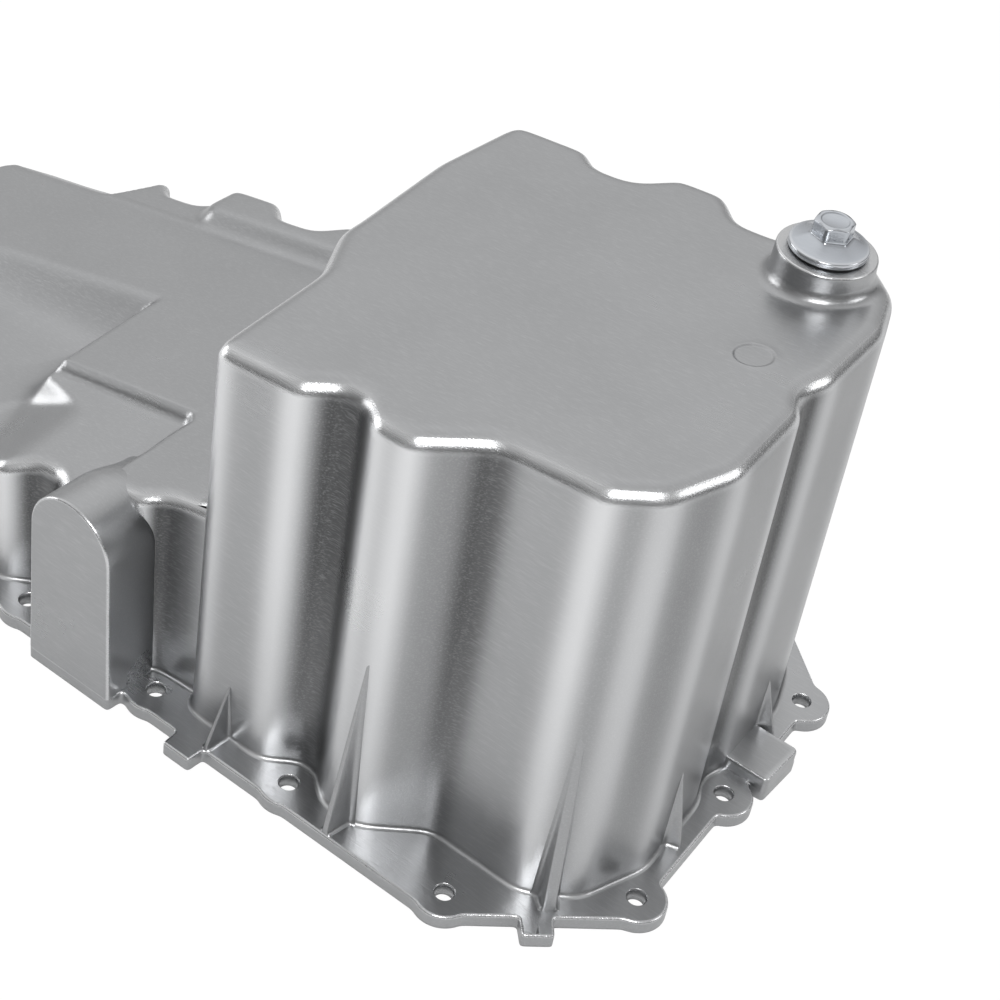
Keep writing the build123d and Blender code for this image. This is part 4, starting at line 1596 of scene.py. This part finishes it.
@dataclass(frozen=True)
class MetalFinish:
    """Procedural metal: colour, roughness and relief, with rubbed edges that carry a painted highlight, a
    painted highlight on ridges and painted shade in valleys.
    """

    name: str
    base: tuple[float, float, float, float]
    dull: tuple[float, float, float, float]
    bright: tuple[float, float, float, float]
    rough_low: float
    rough_high: float
    bump: float
    metallic: float = 1.0
    # shade is the share of the painted highlight on ridges and of the painted shade in valleys; valley is the
    # painted shade's colour.
    shade: float = 0.5
    valley: tuple[float, float, float, float] = grey(0.07, 0.04)
    # Share of the bright tone on rubbed edges, which is a painted highlight as well.
    wear_highlight_share: float = 0.8
    wear_gloss: float = 0.06
    scratch_share: float = 0.12
    scratch_rough: float = 0.05
    scratch_depth: float = 0.55
    rings: float = 0.0
    centre: tuple[float, float] = (0.0, 0.0)

    def material(self) -> bpy.types.Material:
        """Build the material.

        Returns:
            The material, read in Object coordinates, the edge_wear_and_highlight attribute (edge rubbing and
            painted highlight) and the ridge attribute (painted highlight and painted shade).
        """
        found = bpy.data.materials.get(self.name)
        if found is not None:
            return found
        material = bpy.data.materials.new(self.name)
        bench = NodeBench.cleared(material)
        place = bench.add("ShaderNodeTexCoord").outputs["Object"]
        grain = bench.add("ShaderNodeGroup", {"node_tree": CastGrain.group()}, {"Vector": place}).outputs
        mottle = grain["Mottle"]
        scratch = grain["Scratch"]
        wear_and_highlight = bench.add("ShaderNodeAttribute", {"attribute_name": "edge_wear_and_highlight"}).outputs["Fac"]
        worn_and_highlit = bench.math("MULTIPLY", wear_and_highlight, bench.span(mottle, 0.0, 1.0, 0.5, 1.0), True)
        colour = bench.mix(mottle, self.dull, self.base)
        painted_ridge_light = bench.add("ShaderNodeAttribute", {"attribute_name": "painted_ridge_light"}).outputs["Fac"]
        # Painted shade in valleys (sunk) and painted highlight on crests (crest), from the ridge attribute.
        sunk = bench.math("MULTIPLY", painted_ridge_light, -1.0, True)
        crest = bench.math("MULTIPLY", painted_ridge_light, 1.0, True)
        # Mix in the painted valley shade, the painted crest highlight, edge rubbing with its painted
        # highlight, and lighter scratches.
        tones = (
            (sunk, self.shade, self.valley), (crest, self.shade, self.bright),
            (worn_and_highlit, self.wear_highlight_share, self.bright), (scratch, self.scratch_share, self.bright),
        )
        for mask, share, tone in tones:
            colour = bench.mix(bench.math("MULTIPLY", mask, share), colour, tone)
        rough = bench.span(mottle, 0.0, 1.0, self.rough_high, self.rough_low)
        rough = bench.math("SUBTRACT", rough, bench.math("MULTIPLY", worn_and_highlit, self.wear_gloss), True)
        rough = bench.math("ADD", rough, bench.math("MULTIPLY", scratch, self.scratch_rough), True)
        dents = bench.math("MULTIPLY", scratch, self.scratch_depth)
        relief = bench.math("SUBTRACT", grain["Grain"], dents)
        if self.rings > 0.0:
            from_axis = {0: place, 1: (*self.centre, 0.0)}
            centred = bench.add("ShaderNodeVectorMath", {"operation": "SUBTRACT"}, from_axis).outputs[0]
            in_plan = {0: centred, 1: (1.0, 1.0, 0.0)}
            flat = bench.add("ShaderNodeVectorMath", {"operation": "MULTIPLY"}, in_plan).outputs[0]
            away = bench.add("ShaderNodeVectorMath", {"operation": "LENGTH"}, {0: flat}).outputs["Value"]
            wave = bench.math("SINE", bench.math("MULTIPLY", away, self.rings))
            grooves = bench.math("MULTIPLY", wave, 0.5)
            relief = bench.math("ADD", bench.math("MULTIPLY", relief, 0.35), grooves)
        height = {"Strength": self.bump, "Distance": 0.0002, "Height": relief}
        bump = bench.add("ShaderNodeBump", {}, height).outputs["Normal"]
        look = {"Base Color": colour, "Metallic": self.metallic, "Roughness": rough, "Normal": bump}
        shader = bench.add("ShaderNodeBsdfPrincipled", {}, look)
        bench.add("ShaderNodeOutputMaterial", {}, {"Surface": shader.outputs[0]})
        return material


@dataclass(frozen=True)
class RubberFinish:
    """Black sealing rubber with a faint moulded grain."""

    name: str = "black_rubber"

    def material(self) -> bpy.types.Material:
        """Build the material."""
        material = bpy.data.materials.new(self.name)
        bench = NodeBench.cleared(material)
        place = bench.add("ShaderNodeTexCoord").outputs["Object"]
        grain = bench.noise(place, 2200.0, 3.0, 0.6)
        slow = bench.noise(place, 120.0, 3.0, 0.5)
        colour = bench.mix(slow, (0.008, 0.008, 0.009, 1.0), (0.022, 0.022, 0.023, 1.0))
        height = {"Strength": 0.25, "Distance": 0.0001, "Height": grain}
        bump = bench.add("ShaderNodeBump", {}, height).outputs["Normal"]
        rough = bench.span(slow, 0.3, 0.7, 0.42, 0.6)
        look = {"Base Color": colour, "Roughness": rough, "Normal": bump}
        shader = bench.add("ShaderNodeBsdfPrincipled", {}, look)
        bench.add("ShaderNodeOutputMaterial", {}, {"Surface": shader.outputs[0]})
        return material


class Finishes:
    """All the finishes of the pan."""

    # The cast finish paints the ridge highlight and valley shade nearly in full (shade 0.95), with a near
    # white bright tone for crests, rubbed edges and scratches.
    cast = MetalFinish(
        "cast_metal", base=grey(0.44, 0.03), dull=grey(0.42, 0.03), bright=grey(0.92, 0.02),
        rough_low=0.27, rough_high=0.31, bump=0.22, shade=0.95,
    )
    machined = MetalFinish(
        "turned_metal", base=grey(0.62, 0.02), dull=grey(0.57, 0.02), bright=grey(0.75),
        rough_low=0.2, rough_high=0.26, bump=0.3, rings=14000.0,
        centre=((SIZES.boss_x - PLAN_MIDDLE_X) * MILLIMETRE, (SIZES.boss_y - PLAN_MIDDLE_Y) * MILLIMETRE),
    )
    zinc = MetalFinish(
        "zinc_plate", base=grey(0.60, 0.10), dull=grey(0.50, 0.14), bright=grey(0.8, 0.04),
        rough_low=0.12, rough_high=0.2, bump=0.12,
    )
    rubber = RubberFinish()


@dataclass(frozen=True)
class SoftBox:
    """Rectangular lamp: where it is, where it points, its size and its power."""

    name: str
    place: tuple[float, float, float]
    target: tuple[float, float, float]
    width: float
    height: float
    watts: float

    def build(self) -> None:
        """Hang the lamp."""
        lamp = bpy.data.lights.new(self.name, "AREA")
        lamp.shape = "RECTANGLE"
        lamp.size = self.width
        lamp.size_y = self.height
        lamp.energy = self.watts
        holder = bpy.data.objects.new(self.name, lamp)
        way = Vector(self.target) - Vector(self.place)
        turned = way.to_track_quat("-Z", "Y").to_matrix().to_4x4()
        holder.matrix_world = Matrix.Translation(self.place) @ turned
        bpy.context.scene.collection.objects.link(holder)


@dataclass(frozen=True)
class Studio:
    """Pale floor, soft lamps, pale surroundings and the camera of the photograph."""

    lens: float = 75.6
    azimuth_deg: float = -31.01
    elevation_deg: float = 39.28
    roll_deg: float = 10.1
    place: tuple[float, float, float] = (0.4284, -0.51, 0.5706)
    lamps: tuple[SoftBox, ...] = (
        SoftBox("front_box", (0.80, -1.25, 1.55), (0.1, 0.0, 0.1), 0.8, 0.7, 15.0),
        SoftBox("left_box", (-1.9, -0.5, 0.4), (0.1, 0.0, 0.1), 1.0, 0.6, 5.0),
        SoftBox("right_box", (1.75, 0.7, 1.1), (0.1, 0.0, 0.1), 0.8, 0.8, 5.0),
    )

    def build_camera(self) -> None:
        """Place the camera by its azimuth, elevation and roll."""
        az = math.radians(self.azimuth_deg)
        el = math.radians(self.elevation_deg)
        roll = math.radians(self.roll_deg)
        forward = Vector((math.sin(az) * math.cos(el), math.cos(az) * math.cos(el), -math.sin(el)))
        level = Vector((math.cos(az), -math.sin(az), 0.0))
        up = level.cross(forward)
        right = math.cos(roll) * level + math.sin(roll) * up
        top = right.cross(forward)
        camera = bpy.data.cameras.new("photo_camera")
        camera.sensor_width = 36.0
        camera.lens = self.lens
        camera.clip_start = 0.01
        holder = bpy.data.objects.new("photo_camera", camera)
        turned = Matrix((right, top, -forward)).transposed().to_4x4()
        holder.matrix_world = Matrix.Translation(self.place) @ turned
        bpy.context.scene.collection.objects.link(holder)
        bpy.context.scene.camera = holder

    def build_floor(self) -> None:
        """Lay the pale floor; rays that see it straight find it nearly white, shadows stay faint."""
        mesh = bpy.data.meshes.new("studio_floor")
        far = 6.0
        low = -0.0004
        corners = [(-far, -far, low), (far, -far, low), (far, far, low), (-far, far, low)]
        mesh.from_pydata(corners, [], [(0, 1, 2, 3)])
        floor = bpy.data.objects.new("studio_floor", mesh)
        bpy.context.scene.collection.objects.link(floor)
        material = bpy.data.materials.new("pale_floor")
        bench = NodeBench.cleared(material)
        rays = bench.add("ShaderNodeLightPath").outputs
        mirrored = bench.math("ADD", rays["Is Glossy Ray"], rays["Is Transmission Ray"], True)
        seen = bench.math("MULTIPLY", rays["Is Camera Ray"], 0.9)
        shares = bench.math("ADD", seen, bench.math("MULTIPLY", mirrored, 0.15), True)
        diffuse = bench.add("ShaderNodeBsdfDiffuse", {}, {"Color": grey(0.85)})
        white = bench.add("ShaderNodeEmission", {}, {"Color": grey(1.0), "Strength": 1.06})
        both = bench.add("ShaderNodeMixShader", {}, {0: shares, 1: diffuse.outputs[0], 2: white.outputs[0]})
        bench.add("ShaderNodeOutputMaterial", {}, {"Surface": both.outputs[0]})
        mesh.materials.append(material)
        floor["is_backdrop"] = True

    def build_world(self) -> None:
        """Surround the set with greys that brighten from the horizon upwards and in a sector behind."""
        world = bpy.data.worlds.new("pale_studio")
        bpy.context.scene.world = world
        bench = NodeBench.cleared(world)
        way = bench.add("ShaderNodeTexCoord").outputs["Generated"]
        parts = bench.add("ShaderNodeSeparateXYZ", {}, {0: way}).outputs
        upper = bench.span(parts["Z"], 0.0, 0.6, 0.10, 0.50)
        sector = {0: way, 1: (-0.60, 0.53, 0.60)}
        toward = bench.add("ShaderNodeVectorMath", {"operation": "DOT_PRODUCT"}, sector)
        behind = bench.span(toward.outputs["Value"], 0.35, 0.9, 0.0, 0.42)
        level = bench.math("ADD", upper, behind)
        colour = bench.add("ShaderNodeCombineColor", {}, {0: level, 1: level, 2: level}).outputs[0]
        background = bench.add("ShaderNodeBackground", {}, {"Color": colour, "Strength": 1.0})
        bench.add("ShaderNodeOutputWorld", {}, {"Surface": background.outputs[0]})

    def build(self) -> None:
        """Build camera, floor, surroundings and lamps."""
        self.build_camera()
        self.build_floor()
        self.build_world()
        for lamp in self.lamps:
            lamp.build()
        bpy.context.scene.view_settings.view_transform = "Standard"


def dress(piece: bpy.types.Object, material: bpy.types.Material) -> None:
    """Give a piece its one material."""
    piece.data.materials.clear()
    piece.data.materials.append(material)


RIBS = (
    Rib("web_by_tab", (-104.2, -9.9), (-103.9, 1.2), 24.0, 1.6, 2.2),
    Rib("web_tall", (-47.2, -9.4), (-46.0, 1.3), 70.0, 2.2, 3.2),
    Rib("web_corner", (31.6, 18.4), (26.5, 24.2), 71.0, 4.6, 7.5),
    Rib("web_end_near", (49.2, 75.6), (43.2, 74.2), 35.0, 1.8, 2.4),
    Rib("web_end_far", (45.0, 147.2), (37.6, 144.8), 28.0, 1.8, 2.4),
)


def main() -> list[list[float]]:
    """Build every piece in order.

    Returns:
        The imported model's box, lowest and highest corner, before any piece is made.
    """
    logging.basicConfig(level=logging.INFO, format="%(name)s %(message)s")
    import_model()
    packed = [list(corner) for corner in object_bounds()]
    casting = Casting()
    casting.build_bodies()
    Flange().build(casting)
    for rib in RIBS:
        rib.build(casting)
    Lug().build(casting)
    DrainBoss().build(casting)
    for piece in casting.pieces:
        dress(piece, (Finishes.machined if piece.name == "boss_face_and_bore" else Finishes.cast).material())
    dress(SealingRing().build(), Finishes.rubber.material())
    dress(DrainPlug().build(), Finishes.zinc.material())
    Studio().build()
    return packed


if __name__ == "__main__":
    packed_box = main()
